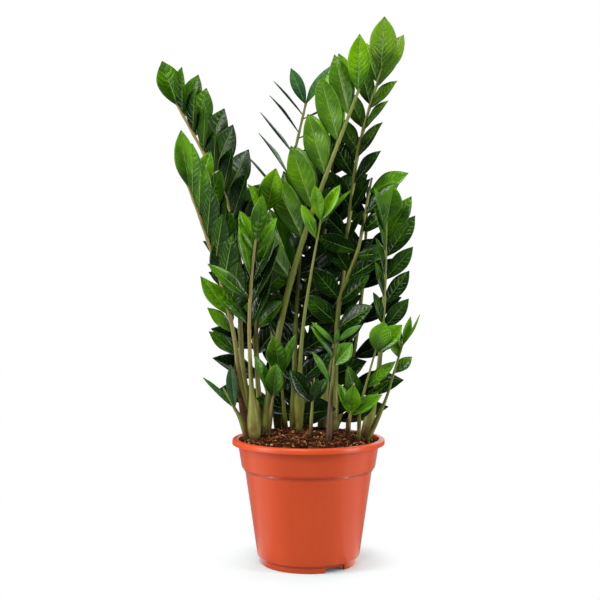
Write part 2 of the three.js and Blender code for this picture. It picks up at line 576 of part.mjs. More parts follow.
// ---- Sheath -----------------------------------------------------------------------
function sheathSolid(sheath, stems) {
  const stem = stems.find((one) => one.name === sheath.stem);
  const last = sheath.rings.length - 1;
  const rings = sheath.rings.map((along, number) => {
    const { point, tangent } = stemAt(stem, along);
    const up = number === 0 ? vector(0, 0, 1) : tangent;
    const first = squareTo(vector(1, 0, 0), up);
    const second = up.clone().cross(first);
    const inner = (stemRadius(stem, along) + SHEATH_GAP) / Math.cos(Math.PI / SHEATH_ROUNDNESS);
    const reach = degrees(sheath.span / 2) * (1 - SHEATH_POINT * (number / last) ** 2);
    const arc = (radius, order) => Array.from({ length: SHEATH_STEPS + 1 }, (_, k) => {
      const angle = degrees(sheath.facing) + order * reach * ((2 * k) / SHEATH_STEPS - 1);
      return combine([point, 1], [first, radius * Math.cos(angle)], [second, radius * Math.sin(angle)]);
    });
    return [...arc(inner + SHEATH_THICKNESS, 1), ...arc(inner, -1)];
  });
  return toSolid(skin(rings));
}

// ---- The whole plant ----------------------------------------------------------------
const plant = new THREE.Group();

function addPiece(name, solid, color, roughness) {
  const material = new THREE.MeshStandardMaterial({ color, roughness, metalness: 0 });
  const mesh = new THREE.Mesh(toGeometry(solid), material);
  mesh.name = name;
  plant.add(mesh);
}

const stems = STEMS.map(traceStem);
growLeaves(stems);
addPiece('pot', potSolid(), 0xd2553a, 0.35);
addPiece('soil', soilSolid(stems), 0x4a2a1e, 0.95);
for (const stem of stems) {
  const solid = stem.grown.reduce((whole, leaf) => whole.add(leafSolid(leaf)), stemSolid(stem));
  addPiece(stem.name, solid, stem.shade, 0.4);
}
for (const sheath of SHEATHS) {
  addPiece(sheath.name, sheathSolid(sheath, stems), 0x4b2c1e, 0.8);
}

export default plant;
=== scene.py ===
"""A zz plant in an orange nursery pot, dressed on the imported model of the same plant.

Lengths of the plant and its pot are millimetres until a mesh is made. The tables of stems and
sheaths, and the rules that turn and bend each leaflet, are those of the solids, so every leaf grows
where its solid stands.
"""

import math

import bpy
import numpy as np
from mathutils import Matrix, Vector, noise


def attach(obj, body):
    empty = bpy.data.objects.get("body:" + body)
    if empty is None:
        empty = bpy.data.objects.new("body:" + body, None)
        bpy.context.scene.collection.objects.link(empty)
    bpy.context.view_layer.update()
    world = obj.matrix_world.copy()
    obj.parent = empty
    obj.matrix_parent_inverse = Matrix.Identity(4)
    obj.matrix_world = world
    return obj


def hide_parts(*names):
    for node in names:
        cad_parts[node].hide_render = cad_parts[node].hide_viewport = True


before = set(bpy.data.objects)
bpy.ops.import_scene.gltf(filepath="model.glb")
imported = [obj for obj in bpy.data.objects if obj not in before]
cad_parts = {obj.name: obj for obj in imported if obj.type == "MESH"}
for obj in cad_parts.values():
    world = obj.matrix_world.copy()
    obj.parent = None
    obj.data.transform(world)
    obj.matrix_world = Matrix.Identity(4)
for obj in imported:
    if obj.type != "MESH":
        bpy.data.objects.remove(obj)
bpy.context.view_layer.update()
MM = 0.001

# ---- Sizes shared with the solids ----------------------------------------------------------
# The pot.
POT_HEIGHT = 197
LIP_RADIUS = 121.5
LIP_DROP = 9
COLLAR_TOP_RADIUS = 112
COLLAR_FOOT_RADIUS = 106.5
STEP_HEIGHT = 149
STEP_HALF = 3.5
WALL_TOP_RADIUS = 101
WALL_FOOT_RADIUS = 81.5
WALL = 2.2
FOOT_RADIUS = 77.5
FOOT_HEIGHT = 10
FOOT_RING_WIDTH = 4.5
FLOOR_UNDERSIDE = 5
CENTRE_PAD_RADIUS = 30
NOTCH_WIDTH = 36
NOTCH_HEIGHT = 8
NOTCH_COUNT = 3
NOTCH_TURN = 32.7

# The soil: the gap between it and the pot, its levels in the middle and at the wall, and how
# suddenly it falls near the wall.
GAP = 0.35
SOIL_CENTRE = 208
SOIL_EDGE = 190
SOIL_ROUNDNESS = 3

# The stems and the rule that grows their leaflets.
BULB_HEIGHT = 24
BULB_SPREAD = 34
CURVE_SAMPLES = 64
FOLD = 17
LEAF_CLEARANCE = 8.5
STEM_CLEARANCE = 5
FLOOR_OF_FOLIAGE = 211
NEIGHBOUR_REACH = 0.62
PROBE_SPACING = 7
PROBE_ROWS = 8
PROBE_COLUMNS = (-1, -0.5, 0, 0.5, 1)
CROWDING = 1.2
FIRST_STEP = 0.8
STAGGER = 0.2
VARIES = {"lift": 8, "pitch": 10, "twist": 12, "size": 0.12, "step": 0.2}
CURL = 0.1
CURL_BACK_SHARE = 0.35
BLADE_SKEW = 1.06
BLADE_FULLNESS = 0.88
CAP_TILT = -14
CAP_SINK = 5

# Each stem: path is its centre line from the soil up, foot, neck and tip are radii, and leaf and
# stalk name its finishes. rows are its two rows of leaflets: where they start, how many pairs, their
# length, breadth and pitch, and the angles turn, lift and twist. Each of singles is a leaflet of its
# own: place along the stem, heading, pitch, roll, length, breadth. cap is the top leaflet: length,
# breadth, turn, lean. tones are the lightness of the lowest and the top leaf, where they differ from
# what LEAF_TONES gives, and painted_shades how much painted shade darkens the single leaflets at some
# places, those that face away from the light.
STEMS = [
    dict(name="frond_centre_tall", foot=8.6, neck=6.6, tip=2.2, seed=11,
         leaf="fresh", stalk="olive",
         path=[(-68, 10), (-60, 12, 288), (-40, 4, 400), (-8, -10, 515), (31, -20, 623), (79, -35, 747)],
         rows=dict(start=0.45, pairs=6, long=(120, 98), broad=0.4, pitch=(46, 37),
                   turn=168, lift=66, twist=10),
         cap=(88, 0.42, 268, -19)),
    dict(name="frond_right_tall", foot=8, neck=5.6, tip=2, seed=23,
         leaf="lit", stalk="olive",
         path=[(22, 34), (32, 42, 300), (55, 50, 440), (75, 46, 615), (90, 38, 695), (120, 26, 794)],
         rows=dict(start=0.36, pairs=9, long=(78, 68), broad=0.46, pitch=(50, 34),
                   turn=237, lift=20, twist=14),
         singles=[(0.98, 40, 18, 60, 80, 0.4)],
         tones=(-0.35, 1.0),
         cap=(86, 0.54, 270, -14)),
    dict(name="frond_left_tall", foot=8, neck=5, tip=2, seed=37,
         leaf="green", stalk="tan",
         path=[(-84, 38), (-106, 26, 300), (-112, 14, 430), (-123, 8, 550), (-160, 8, 636),
               (-212, 6, 733)],
         rows=dict(start=0.48, pairs=8, long=(86, 76), broad=0.5, pitch=(52, 45),
                   turn=340, lift=66, twist=172),
         singles=[(0.25, 50, 40, 50, 80, 0.42), (0.39, 22, 36, 60, 84, 0.42)],
         tones=(-0.4, 0.6),
         cap=(74, 0.56, 272, 9)),
    dict(name="frond_left_mid", foot=8, neck=4.6, tip=1.8, seed=41,
         leaf="green", stalk="tan",
         path=[(-93, 7), (-109, -6, 280), (-118, -16, 360), (-137, -24, 440), (-164, -30, 527),
               (-189, -35, 597)],
         rows=dict(start=0.48, pairs=6, long=(98, 86), broad=0.4, pitch=(36, 34),
                   turn=344, lift=62, twist=10),
         tones=(-0.1, 0.75),
         cap=(91, 0.38, 275, 12)),
    dict(name="frond_left_front", foot=10.4, neck=4.4, tip=1.7, seed=53,
         leaf="green", stalk="tan",
         path=[(-84, -34), (-90, -42, 300), (-92, -50, 380), (-88, -60, 450), (-81, -70, 512)],
         singles=[(0.54, 30, 24, 15, 100, 0.3), (0.57, 180, 42, -62, 94, 0.24),
                  (0.66, 50, 26, 10, 110, 0.3), (0.7, 178, 32, -62, 90, 0.29),
                  (0.77, 60, 28, 12, 98, 0.3), (0.8, 175, 28, -62, 94, 0.29), (0.9, 30, 26, 25, 74, 0.3),
                  (0.93, 170, 26, -62, 68, 0.34)],
         # Painted shade on the single leaflets that face away from the light.
         painted_shades={0.54: 0.45, 0.66: 0.4, 0.77: 0.4, 0.9: 0.3},
         tones=(0.1, 0.9),
         cap=(76, 0.34, 280, 0)),
    dict(name="frond_right_front", foot=9, neck=5, tip=1.8, seed=67,
         leaf="green", stalk="olive",
         path=[(90, -6), (107, -12, 275), (115, -18, 350), (120, -24, 440), (122, -30, 542)],
         rows=dict(start=0.52, pairs=5, long=(64, 84), broad=0.4, pitch=(38, 30),
                   turn=295, lift=30, twist=8),
         tones=(0.1, 0.7),
         cap=(62, 0.6, 272, 8)),
    dict(name="frond_left_inner", foot=7.6, neck=4.6, tip=1.9, seed=71,
         leaf="fresh", stalk="tan",
         path=[(-76, 60), (-84, 42, 300), (-84, 22, 400), (-76, 0, 480), (-66, -18, 562)],
         rows=dict(start=0.5, pairs=5, long=(76, 78), broad=0.42, pitch=(44, 36),
                   turn=272, lift=20, twist=18),
         cap=(86, 0.46, 268, -6)),
    dict(name="frond_back_left", foot=7.6, neck=4.8, tip=1.8, seed=83,
         leaf="bluish", stalk="olive",
         path=[(-50, 62), (-58, 72, 330), (-58, 68, 460), (-36, 66, 600), (-3, 60, 747)],
         rows=dict(start=0.44, pairs=8, long=(124, 72), broad=0.3, pitch=(46, 54),
                   turn=270, lift=6, twist=80),
         singles=[(0.99, 0, 20, 50, 76, 0.3)],
         cap=(64, 0.36, 265, -34)),
    dict(name="frond_right_back", foot=7.6, neck=5.6, tip=1.8, seed=97,
         leaf="green", stalk="olive",
         path=[(40, 6), (48, 8, 396), (62, 9, 449), (80, 10, 498), (90, 15, 548), (103, 22, 615)],
         rows=dict(start=0.4, pairs=7, long=(74, 74), broad=0.48, pitch=(56, 48),
                   turn=245, lift=14, twist=14),
         tones=(0.0, 0.6),
         cap=(74, 0.4, 262, 0)),
    dict(name="frond_centre_slim", foot=5.5, neck=4.4, tip=1.2, bulge=9, seed=101,
         leaf="fresh", stalk="olive",
         path=[(-15, -14), (-14, -26, 300), (-8, -36, 380), (4, -50, 460), (19, -62, 543)],
         singles=[(0.9, 185, 35, -60, 60, 0.4), (0.97, 10, 33, 12, 72, 0.3),
                  (0.985, 350, 20, 65, 64, 0.38)],
         cap=(58, 0.36, 262, -17)),
    dict(name="shoot_centre", foot=3.8, neck=2.8, tip=1.5, seed=173,
         leaf="young", stalk="olive",
         path=[(-36, 24), (-40, 6, 250), (-44, -8, 300)],
         singles=[(0.96, 350, 30, 50, 76, 0.3)],
         cap=(80, 0.42, 268, -4)),
    dict(name="frond_back_centre", foot=8.8, neck=6.4, tip=2, seed=113,
         leaf="deep", stalk="olive",
         path=[(0, 64), (2, 76, 320), (14, 86, 440), (32, 92, 560), (44, 92, 660)],
         rows=dict(start=0.05, pairs=9, long=(104, 84), broad=0.5, pitch=(66, 36),
                   turn=262, lift=14, twist=26),
         cap=(76, 0.4, 265, 0)),
    dict(name="frond_back_right", foot=7.8, neck=4.8, tip=1.9, seed=127,
         leaf="deep", stalk="olive",
         path=[(44, 80), (74, 98, 310), (90, 104, 410), (98, 104, 510), (102, 100, 610)],
         rows=dict(start=0.05, pairs=8, long=(100, 80), broad=0.48, pitch=(66, 36),
                   turn=255, lift=16, twist=26),
         cap=(72, 0.42, 265, 0)),
    dict(name="frond_back_far_left", foot=7.8, neck=4.6, tip=1.9, seed=131,
         leaf="deep", stalk="tan",
         path=[(-42, 84), (-84, 98, 310), (-100, 100, 400), (-114, 98, 480), (-132, 96, 556)],
         rows=dict(start=0.12, pairs=8, long=(98, 82), broad=0.48, pitch=(62, 36),
                   turn=286, lift=14, twist=24),
         cap=(74, 0.42, 290, 0)),
    dict(name="frond_back_short", foot=7.4, neck=4.4, tip=1.8, seed=139,
         leaf="deep", stalk="olive",
         path=[(-6, 92), (-8, 118, 300), (-8, 130, 380), (-4, 138, 460), (2, 144, 530)],
         rows=dict(start=0.04, pairs=6, long=(106, 84), broad=0.5, pitch=(66, 36),
                   turn=276, lift=10, twist=26),
         cap=(70, 0.42, 270, 0)),
    dict(name="frond_middle_dark", foot=7.4, neck=5, tip=1.8, seed=137,
         leaf="deep", stalk="olive",
         path=[(-24, 50), (-22, 40, 330), (-18, 32, 420), (-12, 26, 500), (-4, 20, 572)],
         rows=dict(start=0.06, pairs=8, long=(98, 82), broad=0.48, pitch=(64, 36),
                   turn=280, lift=12, twist=28),
         cap=(72, 0.42, 280, 0)),
    dict(name="shoot_front_right", foot=4.9, neck=3.2, tip=1.6, seed=149,
         leaf="young", stalk="purple",
         path=[(31, -62), (34, -66, 276), (42, -68, 354)],
         singles=[(0.56, 182, 36, -45, 60, 0.26), (0.75, 350, 34, 72, 46, 0.7),
                  (0.8, 5, 24, 15, 38, 0.24), (0.82, 188, 42, -40, 63, 0.26),
                  (0.96, 180, 54, -38, 52, 0.28), (0.985, 2, 48, 38, 48, 0.34)],
         cap=(24, 0.3, 270, 0)),
    dict(name="shoot_right_edge", foot=4.6, neck=2.9, tip=1.4, seed=151,
         leaf="green", stalk="olive",
         path=[(92, -30), (120, -34, 260), (132, -36, 300), (147, -38, 349)],
         singles=[(0.7, 20, 34, 50, 40, 0.5), (0.86, 182, 38, -60, 38, 0.56),
                  (0.94, 200, 34, -50, 44, 0.46), (0.98, 95, 12, 20, 48, 0.32)],
         cap=(58, 0.26, 5, 0)),
    dict(name="shoot_left_low", foot=3.9, neck=2.8, tip=1.4, seed=157,
         leaf="green", stalk="olive",
         path=[(-94, 30), (-110, 14, 300), (-118, 8, 345), (-127, 5, 397)],
         singles=[(0.66, 188, 38, -60, 60, 0.42), (0.84, 190, 36, -60, 58, 0.42),
                  (0.9, 60, 34, 40, 60, 0.4)],
         cap=(80, 0.34, 265, -24)),
    dict(name="shoot_left_sheathed", foot=5.2, neck=3.4, tip=1.4, seed=163,
         leaf="bluish", stalk="olive",
         path=[(-97, -14), (-107, -18, 228), (-119, -20, 250)],
         singles=[(0.9, 182, 14, -30, 72, 0.22)],
         cap=(78, 0.26, 250, 30)),
    dict(name="shoot_front_left", foot=3.6, neck=2.6, tip=1.5, seed=167,
         leaf="young", stalk="tan",
         path=[(-62, -26), (-60, -30, 236), (-55, -34, 268)],
         singles=[(0.94, 178, 34, -58, 80, 0.32)],
         cap=(61, 0.52, 272, -4)),
    dict(name="shoot_front_mid", foot=3.2, neck=2.3, tip=1.4, seed=179,
         leaf="deep", stalk="olive",
         path=[(3, -52), (4, -56, 232), (6, -58, 262)],
         singles=[(0.94, 182, 38, -62, 63, 0.5), (0.98, 0, 30, 60, 44, 0.42)],
         cap=(44, 0.4, 275, 6)),
    dict(name="shoot_right_low", foot=3.4, neck=2.4, tip=1.4, seed=181,
         leaf="green", stalk="tan",
         path=[(62, -52), (62, -58, 224), (64, -62, 244)],
         singles=[(0.9, 352, 48, 42, 60, 0.46), (0.96, 190, 30, -50, 54, 0.46)],
         cap=(56, 0.5, 265, 0)),
    dict(name="shoot_right_inner", foot=3.4, neck=2.6, tip=1.4, seed=191,
         leaf="green", stalk="olive",
         path=[(78, -38), (80, -50, 250), (92, -56, 300), (104, -58, 343)],
         singles=[(0.22, 10, 30, 40, 46, 0.5), (0.34, 190, 18, -52, 70, 0.36),
                  (0.42, 0, 46, 14, 58, 0.3), (0.56, 2, 34, 46, 64, 0.36), (0.95, 355, 36, 62, 60, 0.6)],
         cap=(50, 0.72, 268, 0)),
]

# Dry brown scale leaves that wrap the foot of a stem. top is how far up the stem each one reaches,
# facing the bearing of its middle, and span how far round the stem it goes at the soil, in degrees.
SHEATHS = [
    dict(name="sheath_left", stem="frond_left_mid", top=122, facing=215, span=220),
    dict(name="sheath_right", stem="shoot_right_low", top=36, facing=215, span=200),
]
SHEATH_THICKNESS = 1
SHEATH_GAP = 0.7

# Angles (pitch, lift) by which a leaflet bends to pass clear of other stems, tried in turn.
BENDS = [(0, 0), (7, 0), (-7, 0), (0, 14), (0, -14), (13, 10), (13, -10), (-13, 10), (-13, -10),
         (0, 28), (0, -28), (22, 0), (22, 24), (22, -24), (-18, 26), (-18, -26), (34, 12), (34, -12),
         (10, 44), (10, -44)]
SHRINKS = (1, 0.84, 0.7)


# ---- Small helpers -------------------------------------------------------------------------
def mix(a, b, t):
    """The value between a and b at share t."""
    return a + (b - a) * t


def unit(v):
    return v / np.linalg.norm(v)


def square_to(v, axis):
    """The part of v that is square to axis, at unit length."""
    return unit(v - axis * v.dot(axis))


def cos(angle):
    """The cosine of an angle in degrees."""
    return math.cos(math.radians(angle))


def sin(angle):
    """The sine of an angle in degrees."""
    return math.sin(math.radians(angle))


def smooth(low, high, x):
    """0 at low, 1 at high and smooth between them."""
    t = np.clip((np.asarray(x, float) - low) / (high - low), 0, 1)
    return t * t * (3 - 2 * t)


def number_sequence(seed):
    """A repeatable sequence of numbers from 0 to 1, the same as the solids draw."""
    state = seed
    while True:
        state = (1664525 * state + 1013904223) % 4294967296
        yield state / 4294967296


def soil_height(radius):
    """The level of the mounded soil at a distance from the middle of the pot."""
    return SOIL_CENTRE - (SOIL_CENTRE - SOIL_EDGE) * (radius / COLLAR_TOP_RADIUS) ** SOIL_ROUNDNESS


def colour(code):
    """A colour written as red, green and blue from 0 to 255, as the linear colour Blender wants."""
    shares = [part / 255 for part in code]
    return tuple(s / 12.92 if s <= 0.04045 else ((s + 0.055) / 1.055) ** 2.4 for s in shares) + (1,)


# ---- Stems: centre lines and thickness ------------------------------------------------------
def trace_stem(stem):
    """Adds the points of the stem's centre line and their lengths along it."""
    x, y = stem["path"][0][:2]
    points = [np.array([p[0], p[1], p[2] if len(p) > 2 else soil_height(math.hypot(x, y))], float)
              for p in stem["path"]]
    points = [2 * points[0] - points[1], *points, 2 * points[-1] - points[-2]]
    spans = len(points) - 3
    samples = []
    for k in range(CURVE_SAMPLES + 1):
        span = min(int(k * spans / CURVE_SAMPLES), spans - 1)
        t = k * spans / CURVE_SAMPLES - span
        before, start, end, after = points[span:span + 4]
        leave, arrive = 0.5 * (end - before), 0.5 * (after - start)
        samples.append(start + leave * t + (3 * (end - start) - 2 * leave - arrive) * t ** 2
                       + (2 * (start - end) + leave + arrive) * t ** 3)
    stem["samples"] = np.array(samples)
    steps = np.linalg.norm(np.diff(stem["samples"], axis=0), axis=1)
    stem["heights"] = np.concatenate([[0], np.cumsum(steps)])
    stem["length"] = stem["heights"][-1]


def stem_at(stem, along):
    """The point and direction of a stem at a length along it from the soil."""
    i = min(max(1, int(np.searchsorted(stem["heights"], along))), CURVE_SAMPLES)
    start, end = stem["samples"][i - 1], stem["samples"][i]
    low, high = stem["heights"][i - 1], stem["heights"][i]
    return start + (end - start) * (along - low) / (high - low), unit(end - start)


def stem_radius(stem, along):
    """The radius of a stem, which tapers from its neck to its tip and swells near the soil."""
    shaft = mix(stem["neck"], stem["tip"], min(1, along / stem["length"]))
    bulge = stem.get("bulge", stem["foot"]) - stem["neck"]
    peak = 2 * BULB_HEIGHT if "bulge" in stem else BULB_HEIGHT
    return shaft + bulge * math.exp(-((along - peak) / BULB_SPREAD) ** 2)


# ---- Leaflets: where each one grows ---------------------------------------------------------
def half_width(leaf, t):
    """Half the leaflet's breadth at t along it, from 0 at its root to 1 at its tip."""
    return leaf["width"] / 2 * np.maximum(0, np.sin(np.pi * t ** BLADE_SKEW)) ** BLADE_FULLNESS


def blade_points(leaf, t, u):
    """Points of the folded blade: t runs along it, u from edge to edge."""
    half = half_width(leaf, t)
    rise = np.abs(u) * half * sin(FOLD) + leaf["curl"] * leaf["length"] * t * t
    return (leaf["root"] + leaf["along"] * (leaf["length"] * t)[:, None]
            + leaf["across"] * (u * half * cos(FOLD))[:, None] + leaf["up"] * rise[:, None])


def curl_of(draw):
    """How far a leaflet's tip curls up, or back for a low draw, as a share of its length."""
    return CURL * (draw - CURL_BACK_SHARE)


def leaflet(point, along, up, length, broad, curl, share, base):
    """What a leaflet is drawn from: its root, its own axes, its size and its place on the stem."""
    return dict(root=point, along=along, up=up, across=np.cross(along, up), length=length,
                width=length * broad, curl=curl, share=share, base=base)


def make_leaf(stem, along, side, draws, bend, shrink):
    """The leaflet of one row (side 1 or -1) whose root is at a length along the stem."""
    rows = stem["rows"]
    point, tangent = stem_at(stem, along)
    share = (along / stem["length"] - rows["start"]) / (1 - rows["start"])
    facing = square_to(np.array([cos(rows["turn"]), sin(rows["turn"]), 0.0]), tangent)
    sideways = np.cross(tangent, facing) * side
    lift = rows["lift"] + bend[1] + VARIES["lift"] * (draws[0] - 0.5)
    pitch = mix(*rows["pitch"], share) + bend[0] + VARIES["pitch"] * (draws[1] - 0.5)
    twist = rows["twist"] + VARIES["twist"] * (draws[2] - 0.5)
    outward = sideways * cos(lift) + facing * sin(lift)
    inward = facing * cos(lift) - sideways * sin(lift)
    direction = tangent * cos(pitch) + outward * sin(pitch)
    towards_tip = tangent * sin(pitch) - outward * cos(pitch)
    up = inward * cos(twist) + towards_tip * sin(twist)
    size = mix(*rows["long"], share) * (1 + VARIES["size"] * (draws[3] - 0.5)) * shrink
    return leaflet(point, direction, up, size, rows["broad"], curl_of(draws[4]), share, along)


def make_single(stem, entry, curl, bend, shrink):
    """A leaflet that stands for itself, as a stem lists it under singles."""
    place, heading, angle, roll, size, broad = entry
    point, tangent = stem_at(stem, place * stem["length"])
    turn, pitch = heading + bend[1], angle + bend[0]
    outward = square_to(np.array([cos(turn), sin(turn), 0.0]), tangent)
    along = tangent * cos(pitch) + outward * sin(pitch)
    upper = tangent * sin(pitch) - outward * cos(pitch)
    up = upper * cos(roll) + np.cross(along, upper) * sin(roll)
    leaf = leaflet(point, along, up, size * shrink, broad, curl, place, place * stem["length"])
    # A leaflet's shade is the painted shade that its stem gives it at this place.
    leaf["shade"] = stem.get("painted_shades", {}).get(place, 0)
    return leaf


def make_cap(stem, curl, bend, shrink):
    """The leaflet at the end of the rachis, leaning towards the side its face looks to."""
    size, broad, turn, lean = stem["cap"]
    point, tangent = stem_at(stem, stem["length"] - CAP_SINK)
    tilt, sway = CAP_TILT + bend[0], lean + bend[1] / 2
    facing = square_to(np.array([cos(turn), sin(turn), 0.0]), tangent)
    straight = tangent * cos(tilt) - facing * sin(tilt)
    along = unit(straight * cos(sway) + np.cross(tangent, facing) * sin(sway))
    return leaflet(point, along, square_to(facing, along), size * shrink, broad, curl, 1, stem["length"])


def leaf_probes(leaf):
    """Points spread over the blade, at which its clearance is measured."""
    rows = np.arange(1, PROBE_ROWS + 1) / PROBE_ROWS
    return blade_points(leaf, np.repeat(rows, len(PROBE_COLUMNS)), np.tile(PROBE_COLUMNS, PROBE_ROWS))


def distances(a, b):
    """The distance from every point of a to every point of b."""
    return np.linalg.norm(a[:, None] - b[None], axis=2)


def is_clear(leaf, others, stem_points, stem_reach):
    """Whether a leaflet keeps off the soil, the other stems and the leaflets of other stems."""
    probes = leaf["probes"]
    if (probes[:, 2] < FLOOR_OF_FOLIAGE).any():
        return False
    centre = probes[len(probes) // 2]
    near = np.linalg.norm(stem_points - centre, axis=1) < leaf["length"]
    if near.any() and (distances(probes, stem_points[near]) < stem_reach[near]).any():
        return False
    for other in others:
        far = np.linalg.norm(other["probes"][len(probes) // 2] - centre)
        is_near = far < NEIGHBOUR_REACH * (leaf["length"] + other["length"])
        if is_near and distances(probes, other["probes"]).min() < LEAF_CLEARANCE:
            return False
    return True


def fit_leaf(make, others, stem_points, stem_reach):
    """Bends a leaflet, then shortens it, until it stands clear of other stems and their leaflets."""
    for shrink in SHRINKS:
        for bend in BENDS:
            leaf = make(bend, shrink)
            leaf["probes"] = leaf_probes(leaf)
            if is_clear(leaf, others, stem_points, stem_reach):
                return leaf
    return None


def row_jobs(stem, draw):
    """The leaflets of both rows, from the lowest pair to the top pair."""
    start, pairs = stem["rows"]["start"], stem["rows"]["pairs"]
    jobs = []
    for i in range(pairs - 1, -1, -1):
        for side in (1, -1):
            draws = [next(draw) for _ in range(5)]
            stagger = STAGGER if side > 0 else 0
            step = pairs - 1 - i + FIRST_STEP + stagger + VARIES["step"] * next(draw)
            place = 1 - (1 - start) * (step / pairs) ** CROWDING
            jobs.append(lambda bend, shrink, place=place, side=side, draws=draws: make_leaf(
                stem, place * stem["length"], side, draws, (bend[0], bend[1] * side), shrink))
    return jobs


def grow_leaves(stems):
    """Gives each stem its leaflets: its rows, its single leaflets and its cap."""
    lengths = [np.arange(0, stem["length"], PROBE_SPACING) for stem in stems]
    points = [np.array([stem_at(stem, a)[0] for a in along]) for stem, along in zip(stems, lengths)]
    reach = [np.array([stem_radius(stem, a) + STEM_CLEARANCE for a in along])
             for stem, along in zip(stems, lengths)]
    grown = []
    for number, stem in enumerate(stems):
        draw = number_sequence(stem["seed"])
        other_points = np.concatenate(points[:number] + points[number + 1:])
        other_reach = np.concatenate(reach[:number] + reach[number + 1:])
        jobs = row_jobs(stem, draw) if "rows" in stem else []
        for entry in stem.get("singles", ()):
            curl = curl_of(next(draw))
            jobs.append(lambda bend, shrink, entry=entry, curl=curl: make_single(
                stem, entry, curl, bend, shrink))
        cap_curl = curl_of(next(draw))
        jobs.append(lambda bend, shrink: make_cap(stem, cap_curl, bend, shrink))
        fitted = [fit_leaf(job, grown, other_points, other_reach) for job in jobs]
        stem["grown"] = [leaf for leaf in fitted if leaf is not None]
        grown = grown + stem["grown"]


# ---- Meshes ---------------------------------------------------------------------------------
class Shape:
    """Points, faces and per-point notes that are gathered before they become one mesh."""

    def __init__(self, notes=()):
        self.points, self.faces, self.finish = [], [], []
        self.notes = {name: [] for name in notes}
        self.count = 0

    def add(self, points, faces, finish=0, **notes):
        """faces is a list of index arrays, one row per face. A note is one vector per point."""
        for block in faces:
            block = np.asarray(block)
            self.faces.append(block + self.count)
            self.finish.append(np.full(len(block), finish))
        self.points.append(np.asarray(points, float))
        for name, store in self.notes.items():
            store.append(np.broadcast_to(np.asarray(notes[name], float), (len(points), 3)))
        self.count += len(points)

    def build(self, name, materials, smooth_faces=True):
        """The piece of this name, as an object in the scene."""
        mesh = bpy.data.meshes.new(name)
        points = np.concatenate(self.points) * MM
        mesh.vertices.add(len(points))
        mesh.vertices.foreach_set("co", points.astype(np.float32).ravel())
        corners = np.concatenate([block.ravel() for block in self.faces])
        totals = np.concatenate([np.full(len(block), block.shape[1]) for block in self.faces])
        mesh.loops.add(len(corners))
        mesh.loops.foreach_set("vertex_index", corners.astype(np.int32))
        mesh.polygons.add(len(totals))
        starts = np.concatenate([[0], np.cumsum(totals)[:-1]])
        mesh.polygons.foreach_set("loop_start", starts.astype(np.int32))
        mesh.polygons.foreach_set("loop_total", totals.astype(np.int32))
        mesh.polygons.foreach_set("material_index", np.concatenate(self.finish).astype(np.int32))
        mesh.polygons.foreach_set("use_smooth", np.full(len(totals), smooth_faces))
        for note, store in self.notes.items():
            layer = mesh.attributes.new(note, "FLOAT_VECTOR", "POINT")
            layer.data.foreach_set("vector", np.concatenate(store).astype(np.float32).ravel())
        for material in materials:
            mesh.materials.append(material)
        mesh.update()
        mesh.validate()
        piece = bpy.data.objects.new(name, mesh)
        bpy.context.scene.collection.objects.link(piece)
        return piece


def ring_faces(rings, count):
    """Quads between rings that lie one after another, count points each."""
    r = np.arange(rings - 1)[:, None] * count
    k = np.arange(count)[None]
    n = (k + 1) % count
    return np.stack([r + k, r + n, r + n + count, r + k + count], axis=2).reshape(-1, 4)


def fan_faces(centre, ring, count, outward):
    """Triangles from one point to a ring of count points that starts at ring."""
    k = np.arange(count)
    n = (k + 1) % count
    pair = (ring + k, ring + n) if outward else (ring + n, ring + k)
    return np.stack([np.full(count, centre), *pair], axis=1)


def closed_faces(rings, count):
    """Faces of rings that two more points close: first the far end's, then the near end's."""
    end = rings * count
    return [ring_faces(rings, count), fan_faces(end, end - count, count, False),
            fan_faces(end + 1, 0, count, True)]


def circle(count):
    """count angles in radians, evenly spaced round a full turn."""
    return 2 * np.pi * np.arange(count) / count


def turned(profile, segments):
    """Points of a profile of (radius, height) turned round the upright axis."""
    angles = circle(segments)
    profile = np.asarray(profile, float)
    return np.stack([profile[:, :1] * np.cos(angles), profile[:, :1] * np.sin(angles),
                     np.repeat(profile[:, 1:], segments, axis=1)], axis=2).reshape(-1, 3)


def rounded(corners, steps=4):
    """A profile whose corners, given as (radius, height, rounding), are turned into short arcs."""
    most = 0.48  # the largest share of a side that one rounding takes
    points = []
    for number, corner in enumerate(corners):
        here = np.array(corner[:2], float)
        if len(corner) < 3 or number in (0, len(corners) - 1):
            points.append(here)
            continue
        before = np.array(corners[number - 1][:2], float) - here
        after = np.array(corners[number + 1][:2], float) - here
        reach = min(corner[2], most * np.linalg.norm(before), most * np.linalg.norm(after))
        start, end = here + unit(before) * reach, here + unit(after) * reach
        for k in range(steps + 1):
            t = k / steps
            points.append(start * (1 - t) ** 2 + here * 2 * t * (1 - t) + end * t ** 2)
    return np.array(points)


def ring_at(point, direction, side, radius, angles):
    """Points round one place of a path, their angles counted from a side of it."""
    first = square_to(np.array(side), direction)
    second = np.cross(direction, first)
    return (point + first * (radius * np.cos(angles))[:, None]
            + second * (radius * np.sin(angles))[:, None])


def tube(path, radii, directions, round_by, side=(1.0, 0.0, 0.0)):
    """Rings of points square to a path, all with the same side to the front."""
    return np.concatenate([ring_at(*place, side, radius, circle(round_by))
                           for *place, radius in zip(path, directions, radii)])


